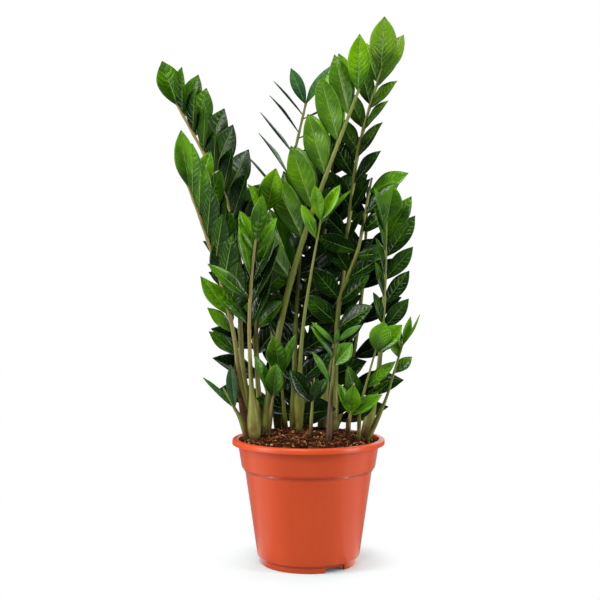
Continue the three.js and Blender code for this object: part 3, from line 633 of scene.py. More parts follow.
# ---- Leaf and stem shapes -------------------------------------------------------------------
LEAF_ROWS = 40
ROW_CROWDING = 0.96
FIRST_ROW = 0.004
RIB = 0.05
TOP_COLUMNS = np.array([-1, -0.85, -0.64, -0.42, -0.22, -RIB * 1.6, 0,
                        RIB * 1.6, 0.22, 0.42, 0.64, 0.85, 1])
BOTTOM_COLUMNS = TOP_COLUMNS[1:-1][::-1]
LEAF_HALF_THICKNESS = 0.42
LEAF_STALK_HALF_WIDTH = 1.5
EDGE_THINNING = 0.55
EDGE_WAVER = 0.025
EDGE_RUFFLE = 0.055
TIP_NARROWING = 0.16
VALLEY_ROUNDING = 0.012
CUPPING = 0.16
CUPPING_VARIES = 0.05
RIB_GROOVE = 0.35
RIB_KEEL = 0.85
# How far, in half breadths, a side vein runs towards the tip on its way to the edge, straight and
# by its bend. A leaflet has FEWEST_VEINS of them and one more for each VEIN_SPACING of its length.
VEIN_SLANT = 0.62
VEIN_BEND = 0.5
VEIN_WAVER = 0.6
FEWEST_VEINS = 4
VEIN_SPACING = 18
# The swelling between side veins, in a leaflet whose half breadth is QUILT_HALF_WIDTH.
QUILT = 0.6
QUILT_VARIES = 0.5
QUILT_HALF_WIDTH = 18


def leaf_relief(leaf, t, u, half, uneven, phase):
    """Where points lie between the side veins, and how far the blade swells there.

    t runs along the leaflet and u across it. The waves on both have odd lengths, and phase differs
    from leaflet to leaflet, so that no two of them ripple alike.
    """
    vein = t - half / leaf["length"] * (VEIN_SLANT * np.abs(u) + VEIN_BEND * u * u)
    quilt = np.abs(np.sin(np.pi * (vein * leaf["veins"] + uneven) + phase)) ** 0.7 - 0.6
    quilt = quilt * (0.7 + 0.3 * np.sin(13 * t + 4 * u + 2 * phase))
    quilt = quilt * (1 - np.abs(u) ** 4) * smooth(0.03, 0.2, np.abs(u)) * smooth(0.02, 0.2, t)
    return vein, leaf["quilt"] * quilt * (half / QUILT_HALF_WIDTH) * smooth(1, 0.86, t)


def add_leaf(shape, leaf, tone, finish):
    """One leaflet with a drawn-out tip, sunk midrib, quilted side veins and a rolled thin edge."""
    t = np.concatenate([[FIRST_ROW], np.linspace(0, 1, LEAF_ROWS + 1)[1:-1] ** ROW_CROWDING])[:, None]
    u = np.concatenate([TOP_COLUMNS, BOTTOM_COLUMNS])[None]
    face = np.concatenate([np.ones(len(TOP_COLUMNS)), -np.ones(len(BOTTOM_COLUMNS))])[None]
    face[0, [0, len(TOP_COLUMNS) - 1]] = 0
    length, draw = leaf["length"], leaf["draw"]
    phase = 2 * np.pi * draw[0]
    stalk = LEAF_STALK_HALF_WIDTH * (1 - smooth(0.0, 0.16, t))
    half = np.maximum(half_width(leaf, t) * (1 - TIP_NARROWING * smooth(0.84, 1, t)), stalk)
    half = half * (1 + EDGE_WAVER * np.sin(9 * t + phase))
    valley = np.sqrt(u * u + VALLEY_ROUNDING) - math.sqrt(VALLEY_ROUNDING)
    cupping = (CUPPING + CUPPING_VARIES * draw[1]) * np.abs(u) * (1 - np.abs(u)) * smooth(0, 0.3, t)
    ruffle = EDGE_RUFFLE * np.sin(7.5 * t + phase + np.sign(u) * 1.1) * np.abs(u) ** 3
    ruffle = ruffle * smooth(0.05, 0.4, t)
    # Side veins leave the midrib aslant and bend towards the tip.
    uneven = VEIN_WAVER * np.sin(5.3 * t + 2.1 * np.sign(u) + phase) * np.abs(u)
    vein, relief = leaf_relief(leaf, t, u, half, uneven, phase)
    rib = np.exp(-(u / (1.3 * RIB)) ** 2)
    relief = relief - RIB_GROOVE * rib * (face > 0) * (1 - 0.6 * t)
    thick = LEAF_HALF_THICKNESS * (1 - EDGE_THINNING * np.abs(u) ** 3) * np.ones_like(t)
    thick = thick + RIB_KEEL * rib * (face < 0) * (1 - 0.8 * t)
    rise = (valley * sin(FOLD) + cupping + ruffle) * half + leaf["curl"] * length * t * t
    rise = rise + relief + face * thick
    across = u * half * cos(FOLD)
    full = np.ones_like(t) * np.ones_like(u)
    points = (leaf["root"] + leaf["along"] * (length * t * full)[..., None]
              + leaf["across"] * across[..., None] + leaf["up"] * rise[..., None]).reshape(-1, 3)
    tip = leaf["root"] + leaf["along"] * length + leaf["up"] * leaf["curl"] * length
    points = np.vstack([points, tip, leaf["root"] - leaf["along"] * 0.5])
    count, shift = leaf["veins"], draw[0] * 2
    place = np.stack([t * full, u * full, vein * count + uneven + shift], axis=2).reshape(-1, 3)
    place = np.vstack([place, [1, 0, count + shift], [0, 0, shift]])
    kind = np.stack([tone * full, (face < 0) * full, draw[2] * full], axis=2).reshape(-1, 3)
    kind = np.vstack([kind, [tone, 0, draw[2]], [tone, 0, draw[2]]])
    faces = closed_faces(LEAF_ROWS, full.shape[1])
    shape.add(points, faces, finish, leaf_place=place, leaf_kind=kind)


# A stem goes STEM_DEPTH into the soil. Its rings lie BULB_ROW apart up to BULB_ZONE, where its foot
# swells, and SHAFT_ROW apart above.
STEM_ROUND = 16
STEM_DEPTH = 12
BULB_ZONE = 96
BULB_ROW = 4
SHAFT_ROW = 5
LEAF_BASE_REACH = 3.2
LEAF_BASE_SWELLING = 0.16
STEM_UNEVENNESS = 0.045


def add_stem(shape, stem, finish):
    """The stalk from just under the soil to the cap, swollen at its foot and at each leaf base."""
    stops = [-STEM_DEPTH, -STEM_DEPTH / 2, *np.arange(0, BULB_ZONE, BULB_ROW),
             *np.arange(BULB_ZONE, stem["length"] - 1, SHAFT_ROW), stem["length"]]
    joints = np.array([leaf["base"] for leaf in stem["grown"]])
    seed, angles = stem["seed"], circle(STEM_ROUND)
    path, radii, directions, place = [], [], [], []
    for along in stops:
        point, direction = stem_at(stem, max(0, along))
        radius = stem_radius(stem, max(0, along))
        swell_and_painted_light = min(np.exp(-((along - joints) / LEAF_BASE_REACH) ** 2).sum(), 1.4)
        radius += LEAF_BASE_SWELLING * stem["neck"] * swell_and_painted_light * (1 - 0.5 * along / stem["length"])
        uneven = [noise.noise(Vector((seed * 3.1, along * 0.022, 0.7 * math.sin(a)))) for a in angles]
        radii.append(radius * (1 + STEM_UNEVENNESS * np.array(uneven)))
        path.append(point + np.array([0, 0, min(0, along)]))
        directions.append(np.array([0, 0, 1.0]) if along <= 0 else direction)
        place.append(np.stack([np.full(STEM_ROUND, along / 100), np.sin(angles) * 0.5 + 0.5,
                               np.full(STEM_ROUND, max(0, along) / stem["length"])], axis=1))
    points = np.vstack([tube(path, radii, directions, STEM_ROUND), path[-1] + directions[-1] * 1.2,
                        path[0]])
    place = np.vstack([*place, place[-1][:1], place[0][:1]])
    shape.add(points, closed_faces(len(stops), STEM_ROUND), finish, leaf_place=place,
              leaf_kind=(seed % 17 / 17, 0, 0))


# How light the lowest and the top leaves of a frond are, from 0 (deep) to 1 (fresh).
# The deep finish, which the back and middle fronds take, is dark partly for their own deep green and
# partly as painted shade inside the plant.
LEAF_TONES = {"fresh": (0.35, 0.8), "young": (0.35, 0.7), "green": (0.25, 0.85), "lit": (0.1, 1.05),
              "deep": (0.1, 0.4), "bluish": (0.4, 0.9)}
TONE_RISE = 1.5
TONE_VARIES = 0.3


def grow_frond(stem):
    """One stem and its leaves as one piece."""
    shape = Shape(("leaf_place", "leaf_kind"))
    draw = np.random.default_rng(stem["seed"])
    tones = stem.get("tones", LEAF_TONES[stem["leaf"]])
    for leaf in stem["grown"]:
        leaf["draw"] = draw.random(4)
        leaf["veins"] = round(FEWEST_VEINS + leaf["length"] / VEIN_SPACING)
        leaf["quilt"] = QUILT + QUILT_VARIES * leaf["draw"][1]
        tone = mix(*tones, max(leaf["share"], 0.0) ** TONE_RISE) + TONE_VARIES * (leaf["draw"][3] - 0.5)
        # The tone is lowered by the leaflet's painted shade.
        add_leaf(shape, leaf, tone - leaf.get("shade", 0), 1)
    add_stem(shape, stem, 0)
    finishes = [STALK_FINISHES[stem["stalk"]], LEAF_FINISHES[stem["leaf"]]]
    piece = shape.build("grown_" + stem["name"], finishes)
    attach(piece, "root")
    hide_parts(stem["name"])


# ---- Shader helpers -------------------------------------------------------------------------
class Tree:
    """Short ways to place and join the nodes of one material or group."""

    def __init__(self, tree):
        self.tree = tree
        self.count = 0

    def node(self, kind, inputs=None, **settings):
        """A new node with its settings, and with each input at a value or joined to a socket."""
        made = self.tree.nodes.new(kind)
        made.location = (220 * (self.count // 4), -180 * (self.count % 4))
        self.count += 1
        for name, value in settings.items():
            setattr(made, name, value)
        for name, value in (inputs or {}).items():
            self.set(made.inputs[name], value)
        return made

    def set(self, socket, value):
        """Joins a socket to another one, or sets it to a plain value."""
        if isinstance(value, bpy.types.NodeSocket):
            self.tree.links.new(value, socket)
        else:
            socket.default_value = value

    def math(self, operation, a, b=0.0):
        return self.node("ShaderNodeMath", {0: a, 1: b}, operation=operation).outputs[0]

    def times(self, a, b):
        """The product of two values, or one mask within another."""
        return self.math("MULTIPLY", a, b)

    def scale(self, value, factor, start=0.0):
        """value times factor, plus start."""
        return self.node("ShaderNodeMath", {0: value, 1: factor, 2: start},
                         operation="MULTIPLY_ADD").outputs[0]

    def total(self, *terms, start=0.0):
        """The sum of start and of each term, which is a value and its amount."""
        for value, amount in terms:
            start = self.scale(value, amount, start)
        return start

    def step(self, low, high, value):
        """0 below low, 1 above high, smooth between them. high may be the lower of the two."""
        return self.node("ShaderNodeMapRange", {"Value": value, "From Min": low, "From Max": high},
                         interpolation_type="SMOOTHSTEP").outputs[0]

    def band(self, start, full, fading, end, value):
        """1 from full to fading, and smoothly down to 0 at start and at end."""
        return self.times(self.step(start, full, value), self.step(end, fading, value))

    def blend(self, share, a, b):
        return self.node("ShaderNodeMix", {0: share, 6: a, 7: b}, data_type="RGBA").outputs[2]

    def tinted(self, body, *layers):
        """body under layers, each given as where it lies, how strong it is and its colour."""
        for where, strength, code in layers:
            body = self.blend(self.times(where, strength), body, colour(code))
        return body

    def ramp(self, share, stops):
        """The colour at share of a ramp, whose stops are places and colours."""
        made = self.node("ShaderNodeValToRGB", {"Fac": share})
        while len(made.color_ramp.elements) < len(stops):
            made.color_ramp.elements.new(0.5)
        for element, (place, code) in zip(made.color_ramp.elements, stops):
            element.position, element.color = place, colour(code)
        return made.outputs[0]

    def cloud(self, place, scale, detail=3.0, roughness=0.5):
        """Soft noise around 0.5, with scale clouds to a metre."""
        return self.node("ShaderNodeTexNoise", {"Vector": place, "Scale": scale, "Detail": detail,
                                                "Roughness": roughness}).outputs[0]

    def drawn_out(self, place, share):
        """A place whose upright way counts only for a share, so that clouds on it turn into streaks."""
        return self.node("ShaderNodeMapping", {"Vector": place, "Scale": (1.0, 1.0, share)}).outputs[0]

    def group(self, tree, **inputs):
        """The outputs of a group, whose inputs are named with _ for a space."""
        made = self.node("ShaderNodeGroup", node_tree=tree)
        for name, value in inputs.items():
            self.set(made.inputs[name.replace("_", " ")], value)
        return made.outputs

    def note(self, name):
        """A per-point note of the mesh, split into its three numbers."""
        made = self.node("ShaderNodeAttribute", attribute_type="GEOMETRY", attribute_name=name)
        return self.parts(made.outputs["Vector"])

    def parts(self, vector):
        return self.node("ShaderNodeSeparateXYZ", {0: vector}).outputs

    def finish(self, shader, body, rough, gleam, relief, strength, depth):
        """Gives the shader its colour, roughness and gleam, and its relief as a bump of this depth."""
        bump = self.node("ShaderNodeBump", {"Height": relief, "Strength": strength, "Distance": depth})
        self.set(shader.inputs["Base Color"], body)
        self.set(shader.inputs["Roughness"], rough)
        self.set(shader.inputs["Specular IOR Level"], gleam)
        self.set(shader.inputs["Normal"], bump.outputs[0])


def new_group(name, inputs, outputs):
    """A shader node group with named sockets, given as name and kind."""
    tree = bpy.data.node_groups.new(name, "ShaderNodeTree")
    for way, sockets in (("INPUT", inputs), ("OUTPUT", outputs)):
        for label, kind in sockets.items():
            tree.interface.new_socket(label, in_out=way, socket_type="NodeSocket" + kind)
    work = Tree(tree)
    return work, work.node("NodeGroupInput").outputs, work.node("NodeGroupOutput").inputs


def new_material(name):
    """A material, its tree, its shader and the place on the surface, in metres."""
    material = bpy.data.materials.new(name)
    material.use_nodes = True
    work = Tree(material.node_tree)
    shader = material.node_tree.nodes["Principled BSDF"]
    here = work.node("ShaderNodeTexCoord").outputs["Object"]
    return material, work, shader, here


# ---- Effects that several finishes share ----------------------------------------------------
def leaf_vein_group():
    """The midrib, the slanting side veins, the swellings between them and the fine net."""
    work, given, out = new_group(
        "leaf veins",
        {"Along": "Float", "Across": "Float", "Vein": "Float", "Pucker": "Float", "Place": "Vector"},
        {"Rib": "Float", "Side veins": "Float", "Edge highlight": "Float", "Painted light on puckers": "Float", "Height": "Float"})
    side = work.math("ABSOLUTE", given["Across"])
    rib_width = work.scale(given["Along"], -0.03, 0.055)
    rib = work.step(1.0, 0.35, work.math("DIVIDE", side, rib_width))
    # Clouds bend the side veins, which would lie too evenly without them.
    bent = work.scale(work.cloud(given["Place"], 48.0), 1.5, given["Vein"])
    across = work.math("FRACT", bent)
    from_middle = work.math("ABSOLUTE", work.math("SUBTRACT", across, 0.5))
    fade = work.band(0.0, 0.12, 0.6, 1.0, side)
    veins = work.times(work.step(0.38, 0.5, from_middle), fade)
    # Between two side veins the blade swells; the same mask also paints light on the swelling, so that
    # one flank of it is the paler.
    swell_and_painted_light = work.times(work.band(0.0, 0.75, 0.82, 1.0, across),
                       work.step(0.4, 0.68, work.cloud(given["Place"], 34.0, 2.0)))
    swell_and_painted_light = work.times(work.times(swell_and_painted_light, given["Pucker"]), fade)
    net = work.node("ShaderNodeTexVoronoi", {"Vector": given["Place"], "Scale": 620.0},
                    feature="DISTANCE_TO_EDGE").outputs[0]
    # This output is painted light on the swellings, used only in the leaf's colour.
    work.set(out["Painted light on puckers"], swell_and_painted_light)
    work.set(out["Rib"], rib)
    work.set(out["Side veins"], veins)
    # Along the rim the leaf is tinted with a painted highlight.
    work.set(out["Edge highlight"], work.step(0.95, 1.0, side))
    work.set(out["Height"], work.total((work.step(0.0, 0.22, net), 0.03), (veins, -0.3), (rib, -0.4),
                                       (swell_and_painted_light, 0.95)))
    return work.tree


def soft_patch_group():
    """Soft patches of tone with a finer grain in them."""
    work, given, out = new_group(
        "soft patches", {"Place": "Vector", "Patch size": "Float", "Grain size": "Float"},
        {"Patches": "Float", "Grain": "Float"})
    work.set(out["Patches"], work.step(0.3, 0.7, work.cloud(given["Place"], given["Patch size"])))
    work.set(out["Grain"], work.cloud(given["Place"], given["Grain size"], 4.0, 0.6))
    return work.tree


def stem_skin_group():
    """Long streaks, round specks and a little unevenness of a fleshy stem."""
    work, given, out = new_group("stem skin", {"Place": "Vector"},
                                 {"Streaks": "Float", "Specks": "Float", "Height": "Float"})
    streaks = work.cloud(work.drawn_out(given["Place"], 0.08), 420.0, 4.0, 0.6)
    spots = work.node("ShaderNodeTexVoronoi", {"Vector": given["Place"], "Scale": 230.0}).outputs[0]
    specks = work.times(work.step(0.22, 0.1, spots), work.cloud(given["Place"], 70.0, 2.0))
    work.set(out["Streaks"], work.step(0.3, 0.7, streaks))
    work.set(out["Specks"], specks)
    work.set(out["Height"], work.total((streaks, 0.7), (specks, 0.3)))
    return work.tree


LEAF_VEINS = leaf_vein_group()
SOFT_PATCHES = soft_patch_group()
STEM_SKIN = stem_skin_group()


# ---- Finishes -------------------------------------------------------------------------------
# Colours are red, green and blue from 0 to 255. BARK_BROWNS has them with their places on a ramp.
POT_ORANGE = (212, 77, 34)
POT_ORANGE_PALE = (218, 82, 38)
# Flow streaks are tinted with this paler orange: partly flow marks of the moulding, partly a painted
# sheen.
POT_FLOW_SHEEN = (222, 92, 48)
POT_DUST = (150, 72, 50)
# The groove at the step is darkened with this colour as painted shade.
GROOVE_SHADE = (140, 48, 24)
DRY_EARTH = (98, 56, 30)
# Stems darken with this colour at the soil line: partly wet soil on them, partly painted contact shade.
WET_EARTH_AND_CONTACT_SHADE = (46, 26, 14)
MIX_DARK = (7, 3, 1)
MIX_BROWN = (28, 15, 7)
MIX_COIR = (70, 38, 18)
BARK_BROWNS = [(0.0, (22, 10, 4)), (0.4, (80, 40, 17)), (0.72, (142, 84, 44)), (0.9, (198, 144, 90)),
               (1.0, (222, 184, 132))]
SHEATH_DARK = (36, 20, 10)
SHEATH_RED = (104, 58, 28)
SHEATH_STREAK = (28, 17, 10)
SHEATH_SPECK = (176, 124, 84)
# Dust lies on the pot up to this height.
DUST_HEIGHT = 30


def leaf_material(dullness, name, deep, fresh, vein, underside):
    """A waxy leaf: deep to fresh is its range of greens, vein the colour of its midrib and veins."""
    material, work, shader, here = new_material(name)
    along, across, vein_place = work.note("leaf_place")
    tone, is_under, pucker = work.note("leaf_kind")
    veins = work.group(LEAF_VEINS, Along=along, Across=across, Vein=vein_place,
                       Pucker=work.scale(pucker, 0.9, 0.25), Place=here)
    patches = work.group(SOFT_PATCHES, Place=here, Patch_size=26.0, Grain_size=420.0)
    # A place is the paler for its patch and its grain, for the painted light on its swelling, and the
    # nearer it is to the tip, so that its base is darker as painted shade.
    share = work.total((patches["Patches"], 0.46), (patches["Grain"], 0.34), (veins["Painted light on puckers"], 0.6),
                       (along, 0.62), start=work.math("SUBTRACT", tone, 0.9))
    middle = tuple((a + b) / 2 for a, b in zip(deep, fresh))
    green = work.ramp(share, [(0.0, deep), (0.5, middle), (1.0, fresh)])
    # The edge is tinted with the vein colour as a painted highlight; the side veins, the underside and
    # the midrib are the leaf's own colours.
    green = work.tinted(green, (veins["Side veins"], 0.1, vein), (veins["Edge highlight"], 0.6, vein),
                        (is_under, 0.2, underside), (veins["Rib"], 0.8, vein))
    rough = work.total((patches["Grain"], 0.16), (is_under, 0.04), start=dullness - 0.08)
    work.finish(shader, green, rough, gleam=0.24, relief=veins["Height"], strength=0.6, depth=0.0011)
    shader.inputs["Coat Weight"].default_value = 0.05
    shader.inputs["Coat Roughness"].default_value = 0.14
    return material


def stalk_material(name, foot, middle, top, shade):
    """A stem: foot is the bulb's colour, top the rachis among the leaves."""
    material, work, shader, here = new_material(name)
    # On a stem the note holds its height above the soil in decimetres and its share of the stem.
    height, _, along = work.note("leaf_place")
    skin = work.group(STEM_SKIN, Place=here)
    patches = work.group(SOFT_PATCHES, Place=here, Patch_size=34.0, Grain_size=300.0)
    body = work.blend(work.step(0.3, 1.3, height), colour(foot), colour(middle))
    body = work.blend(work.step(0.35, 0.75, along), body, colour(top))
    earthy = work.times(work.step(0.5, 0.05, height), work.step(0.3, 0.7, patches["Patches"]))
    # Just above the soil the stem darkens: partly soil on it, partly painted contact shade.
    soil_stain_and_contact_shade = work.times(work.step(0.16, 0.0, height), work.step(0.2, 0.6, patches["Grain"]))
    body = work.tinted(body, (skin["Streaks"], 0.35, shade), (patches["Patches"], 0.3, shade),
                       (skin["Specks"], 0.55, tuple(part * 0.45 for part in shade)),
                       (earthy, 0.75, DRY_EARTH), (soil_stain_and_contact_shade, 0.8, WET_EARTH_AND_CONTACT_SHADE))
    work.finish(shader, body, work.scale(skin["Streaks"], 0.14, 0.36), gleam=0.34,
                relief=skin["Height"], strength=0.35, depth=0.0005)
    return material


def pot_material():
    """Injection-moulded plastic: even orange, faint flow streaks with a paler painted sheen, fine dust,
    and painted shade in the groove at the step.
    """
    material, work, shader, here = new_material("orange moulded plastic")
    patches = work.group(SOFT_PATCHES, Place=here, Patch_size=9.0, Grain_size=900.0)
    flow = work.cloud(work.drawn_out(here, 0.12), 60.0, 4.0, 0.55)
    height = work.scale(work.parts(here)[2], 1 / MM)
    dust = work.times(work.step(DUST_HEIGHT, 0.0, height), patches["Grain"])
    # A thin band of painted shade lies in the groove at the step.
    groove_shade = work.band(STEP_HEIGHT - 1.2, STEP_HEIGHT - 0.4, STEP_HEIGHT + 0.4, STEP_HEIGHT + 1.2,
                       height)
    body = work.blend(patches["Patches"], colour(POT_ORANGE), colour(POT_ORANGE_PALE))
    # The flow streaks take a paler tint, partly flow marks and partly painted sheen, and the groove
    # takes painted shade.
    body = work.tinted(body, (work.step(0.45, 0.8, flow), 0.25, POT_FLOW_SHEEN), (dust, 0.35, POT_DUST),
                       (groove_shade, 0.5, GROOVE_SHADE))
    # The rolled lip is handled more, so it is duller than the wall.
    lip = work.step(POT_HEIGHT - LIP_DROP - 4, POT_HEIGHT - LIP_DROP + 1, height)
    work.finish(shader, body, work.total((flow, 0.12), (lip, 0.2), start=0.1), gleam=0.4,
                relief=work.total((flow, 0.8), (patches["Grain"], 0.2)), strength=0.12, depth=0.0005)
    return material


def mix_material():
    """Moist peat and coir between the larger bits."""
    material, work, shader, here = new_material("moist coir mix")
    patches = work.group(SOFT_PATCHES, Place=here, Patch_size=60.0, Grain_size=700.0)
    crumbs = work.node("ShaderNodeTexVoronoi", {"Vector": here, "Scale": 420.0}).outputs[0]
    body = work.blend(patches["Patches"], colour(MIX_DARK), colour(MIX_BROWN))
    work.finish(shader, work.tinted(body, (patches["Grain"], 0.5, MIX_COIR)),
                work.scale(patches["Grain"], 0.1, 0.84), gleam=0.08,
                relief=work.total((patches["Grain"], 0.8), start=crumbs), strength=0.9, depth=0.0012)
    return material


def bark_material():
    """Bark chips and coir fibres, each bit with its own brown."""
    material, work, shader, here = new_material("bark and coir bits")
    grain = work.group(SOFT_PATCHES, Place=here, Patch_size=150.0, Grain_size=1500.0)["Grain"]
    tone = work.math("SUBTRACT", work.note("bit_tone")[0], 0.15)
    work.finish(shader, work.ramp(work.scale(grain, 0.3, tone), BARK_BROWNS),
                work.scale(grain, 0.2, 0.66), gleam=0.12, relief=grain, strength=0.6, depth=0.0006)
    return material


def sheath_material():
    """A dead scale leaf: dark brown, streaked along, with a redder dry patch."""
    material, work, shader, here = new_material("dry brown sheath")
    skin = work.group(STEM_SKIN, Place=here)
    patches = work.group(SOFT_PATCHES, Place=here, Patch_size=48.0, Grain_size=500.0)
    body = work.blend(patches["Patches"], colour(SHEATH_DARK), colour(SHEATH_RED))
    body = work.tinted(body, (skin["Streaks"], 0.5, SHEATH_STREAK), (skin["Specks"], 0.9, SHEATH_SPECK))
    work.finish(shader, body, work.scale(patches["Grain"], 0.2, 0.6), gleam=0.2,
                relief=skin["Height"], strength=0.8, depth=0.0008)
    return material


# Each leaf finish: how dull its wax is, its name, and the colours of its deepest and its freshest
# parts, of its veins and of its underside.
LEAF_FINISHES = {key: leaf_material(*look) for key, look in {
    "fresh": (0.2, "fresh waxy leaf", (12, 56, 0), (112, 166, 0), (158, 190, 70), (98, 134, 44)),
    "young": (0.2, "young soft green leaf", (18, 62, 6), (96, 148, 22), (146, 180, 82), (92, 128, 50)),
    "green": (0.18, "green glossy leaf", (5, 38, 0), (92, 148, 4), (128, 164, 56), (74, 112, 40)),
    "lit": (0.18, "green leaf, pale at the top", (6, 36, 0), (104, 146, 26), (134, 166, 80),
            (82, 118, 48)),
    # deep: partly the leaves' own deep green, partly painted shade of the inside of the plant.
    "deep": (0.2, "deep green leaf with painted shade", (3, 22, 1), (46, 96, 12), (88, 126, 44), (52, 86, 34)),
    "bluish": (0.2, "blue-green leaf", (14, 46, 22), (66, 112, 56), (118, 156, 104), (74, 110, 74)),
}.items()}
# Each stem finish: its name, and the colours of its foot, its middle, its top and its streaks.
STALK_FINISHES = {key: stalk_material(*look) for key, look in {
    "olive": ("olive stem", (132, 136, 56), (116, 124, 50), (126, 132, 58), (74, 80, 28)),
    "tan": ("tan stem", (134, 140, 58), (140, 136, 72), (156, 136, 82), (92, 82, 38)),
    "purple": ("purple-brown stem", (96, 76, 50), (110, 96, 54), (118, 128, 60), (70, 50, 34)),
}.items()}


# ---- Pot ------------------------------------------------------------------------------------
POT_ROUND = 192
# How far a notch is cut inwards and outwards from the middle of the foot ring.
NOTCH_REACH = 7
# Edges that turn by more degrees than this stay crisp.
CRISP_ANGLE = 38


def pot_profile():
    """The pot's outline, from the middle of its underside out, up, over the lip and back inside."""
    floor_top = FLOOR_UNDERSIDE + WALL
    lip_foot = POT_HEIGHT - LIP_DROP
    ring_inner = FOOT_RADIUS - FOOT_RING_WIDTH
    return rounded([
        (0.01, 0), (CENTRE_PAD_RADIUS, 0, 0.4), (CENTRE_PAD_RADIUS + 1, FLOOR_UNDERSIDE, 0.6),
        (ring_inner, FLOOR_UNDERSIDE, 1), (ring_inner + 0.5, 0, 0.5), (FOOT_RADIUS - 1.5, 0, 0.9),
        (FOOT_RADIUS - 0.4, FOOT_HEIGHT - 1.5, 0.5), (FOOT_RADIUS + 1.6, FOOT_HEIGHT + 0.3, 0.7),
        (WALL_FOOT_RADIUS, FOOT_HEIGHT + 2.4, 1.2), (WALL_TOP_RADIUS, STEP_HEIGHT - STEP_HALF, 2.2),
        (WALL_TOP_RADIUS + 2.6, STEP_HEIGHT - 0.4, 0.5), (WALL_TOP_RADIUS + 2.2, STEP_HEIGHT + 0.4, 0.4),
        (COLLAR_FOOT_RADIUS, STEP_HEIGHT + STEP_HALF, 2.4), (COLLAR_TOP_RADIUS, lip_foot - 1.5, 1.5),
        (COLLAR_TOP_RADIUS + 2.4, lip_foot + 1.2, 1.2), (LIP_RADIUS - WALL, lip_foot + 1.8, 0.6),
        (LIP_RADIUS - 1.6, lip_foot, 0.7), (LIP_RADIUS, lip_foot + 0.6, 1.2),
        (LIP_RADIUS, POT_HEIGHT, 4.2), (COLLAR_TOP_RADIUS - 0.2, POT_HEIGHT, 2.4),
        (COLLAR_FOOT_RADIUS - WALL, STEP_HEIGHT + STEP_HALF + 1, 1.5),
        (WALL_TOP_RADIUS - WALL, STEP_HEIGHT - STEP_HALF + 1, 1.5),
        (WALL_FOOT_RADIUS - WALL, floor_top + 5, 4), (WALL_FOOT_RADIUS - WALL - 5, floor_top, 3),
        (0.01, floor_top)])


def notch_cutter():
    """Blocks that stand in the foot ring where its drain notches go."""
    cutter = Shape()
    middle = FOOT_RING_WIDTH / 2 - FOOT_RADIUS
    half = NOTCH_WIDTH / 2
    corners = [(-half, middle - NOTCH_REACH), (half, middle - NOTCH_REACH),
               (half, middle + NOTCH_REACH), (-half, middle + NOTCH_REACH)]
    for k in range(NOTCH_COUNT):
        turn = NOTCH_TURN + 360 * k / NOTCH_COUNT
        block = [(x * cos(turn) - y * sin(turn), x * sin(turn) + y * cos(turn), z)
                 for z in (-NOTCH_HEIGHT, NOTCH_HEIGHT) for x, y in corners]
        cutter.add(block, [ring_faces(2, 4), [[3, 2, 1, 0]], [[4, 5, 6, 7]]])
    return cutter.build("notch_cutter", [])


def make_pot():
    """The turned pot with a rolled lip, a stepped wall and a foot ring cut by drain notches."""
    profile = pot_profile()
    points = np.vstack([turned(profile, POT_ROUND), [0, 0, FLOOR_UNDERSIDE + WALL], [0, 0, 0]])
    shape = Shape()
    shape.add(points, closed_faces(len(profile), POT_ROUND))
    pot = shape.build("moulded_pot", [pot_material()])
    block = notch_cutter()
    cut = pot.modifiers.new("drain notches", "BOOLEAN")
    cut.operation, cut.object, cut.solver = "DIFFERENCE", block, "EXACT"
    bpy.context.view_layer.update()
    notched = bpy.data.meshes.new_from_object(pot.evaluated_get(bpy.context.evaluated_depsgraph_get()))
    pot.modifiers.clear()
    pot.data = notched
    bpy.data.objects.remove(block)
    for face in notched.polygons:
        face.use_smooth = True
    notched.set_sharp_from_angle(angle=math.radians(CRISP_ANGLE))
    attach(pot, "root")
    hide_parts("pot")


# ---- Soil, bark and coir --------------------------------------------------------------------
SOIL_ROUND = 120
SOIL_RINGS = 44
SOIL_RADIUS = COLLAR_TOP_RADIUS - WALL - 1.2
SOIL_SINK = 0.4
# Lumps of the soil top: height, how close together they lie, and which noise they take.
LUMPS = ((1.7, 0.035, 4.0), (1.2, 0.11, 9.0), (0.8, 0.33, 2.0))


def ground(x, y):
    """The height of the lumpy soil top."""
    level = soil_height(min(math.hypot(x, y), SOIL_RADIUS)) - SOIL_SINK
    return level + sum(high * noise.noise(Vector((x * close, y * close, layer)))
                       for high, close, layer in LUMPS)


def make_soil():
    """The filling of the pot, with a crumbly top."""
    inner_foot = WALL_FOOT_RADIUS - WALL - GAP
    bottom = FLOOR_UNDERSIDE + WALL + GAP
    side = [(0.01, bottom), (inner_foot - 4, bottom), (inner_foot, bottom + 5),
            (WALL_TOP_RADIUS - WALL - GAP, STEP_HEIGHT - STEP_HALF + 1),
            (COLLAR_FOOT_RADIUS - WALL - GAP - 0.2, STEP_HEIGHT + STEP_HALF + 1.4)]
    tops = []
    for k in range(SOIL_RINGS):
        radius = SOIL_RADIUS * (1 - k / SOIL_RINGS)
        for angle in circle(SOIL_ROUND):
            x, y = radius * math.cos(angle), radius * math.sin(angle)
            tops.append((x, y, ground(x, y)))
    points = np.vstack([turned(side, SOIL_ROUND), tops, [0, 0, ground(0, 0)], [0, 0, bottom]])
    shape = Shape()
    shape.add(points, closed_faces(len(side) + SOIL_RINGS, SOIL_ROUND))
    soil = shape.build("coir_mix", [mix_material()])
    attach(soil, "root")
    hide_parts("soil")


CHIP_COUNT = 2300
CHIP_MARGIN = 4
FIBRE_COUNT = 300
FIBRE_MARGIN = 10
FIBRE_POINTS = 6
FEWEST_FIBRE_POINTS = 4
FOOT_MARGIN = 2
# The tones that a chip is drawn from, dark to pale, and how often each range comes up.
CHIP_TONES = ((0.0, 0.35), (0.3, 0.7), (0.72, 1.0))
CHIP_TONE_SHARES = (0.54, 0.35, 0.11)


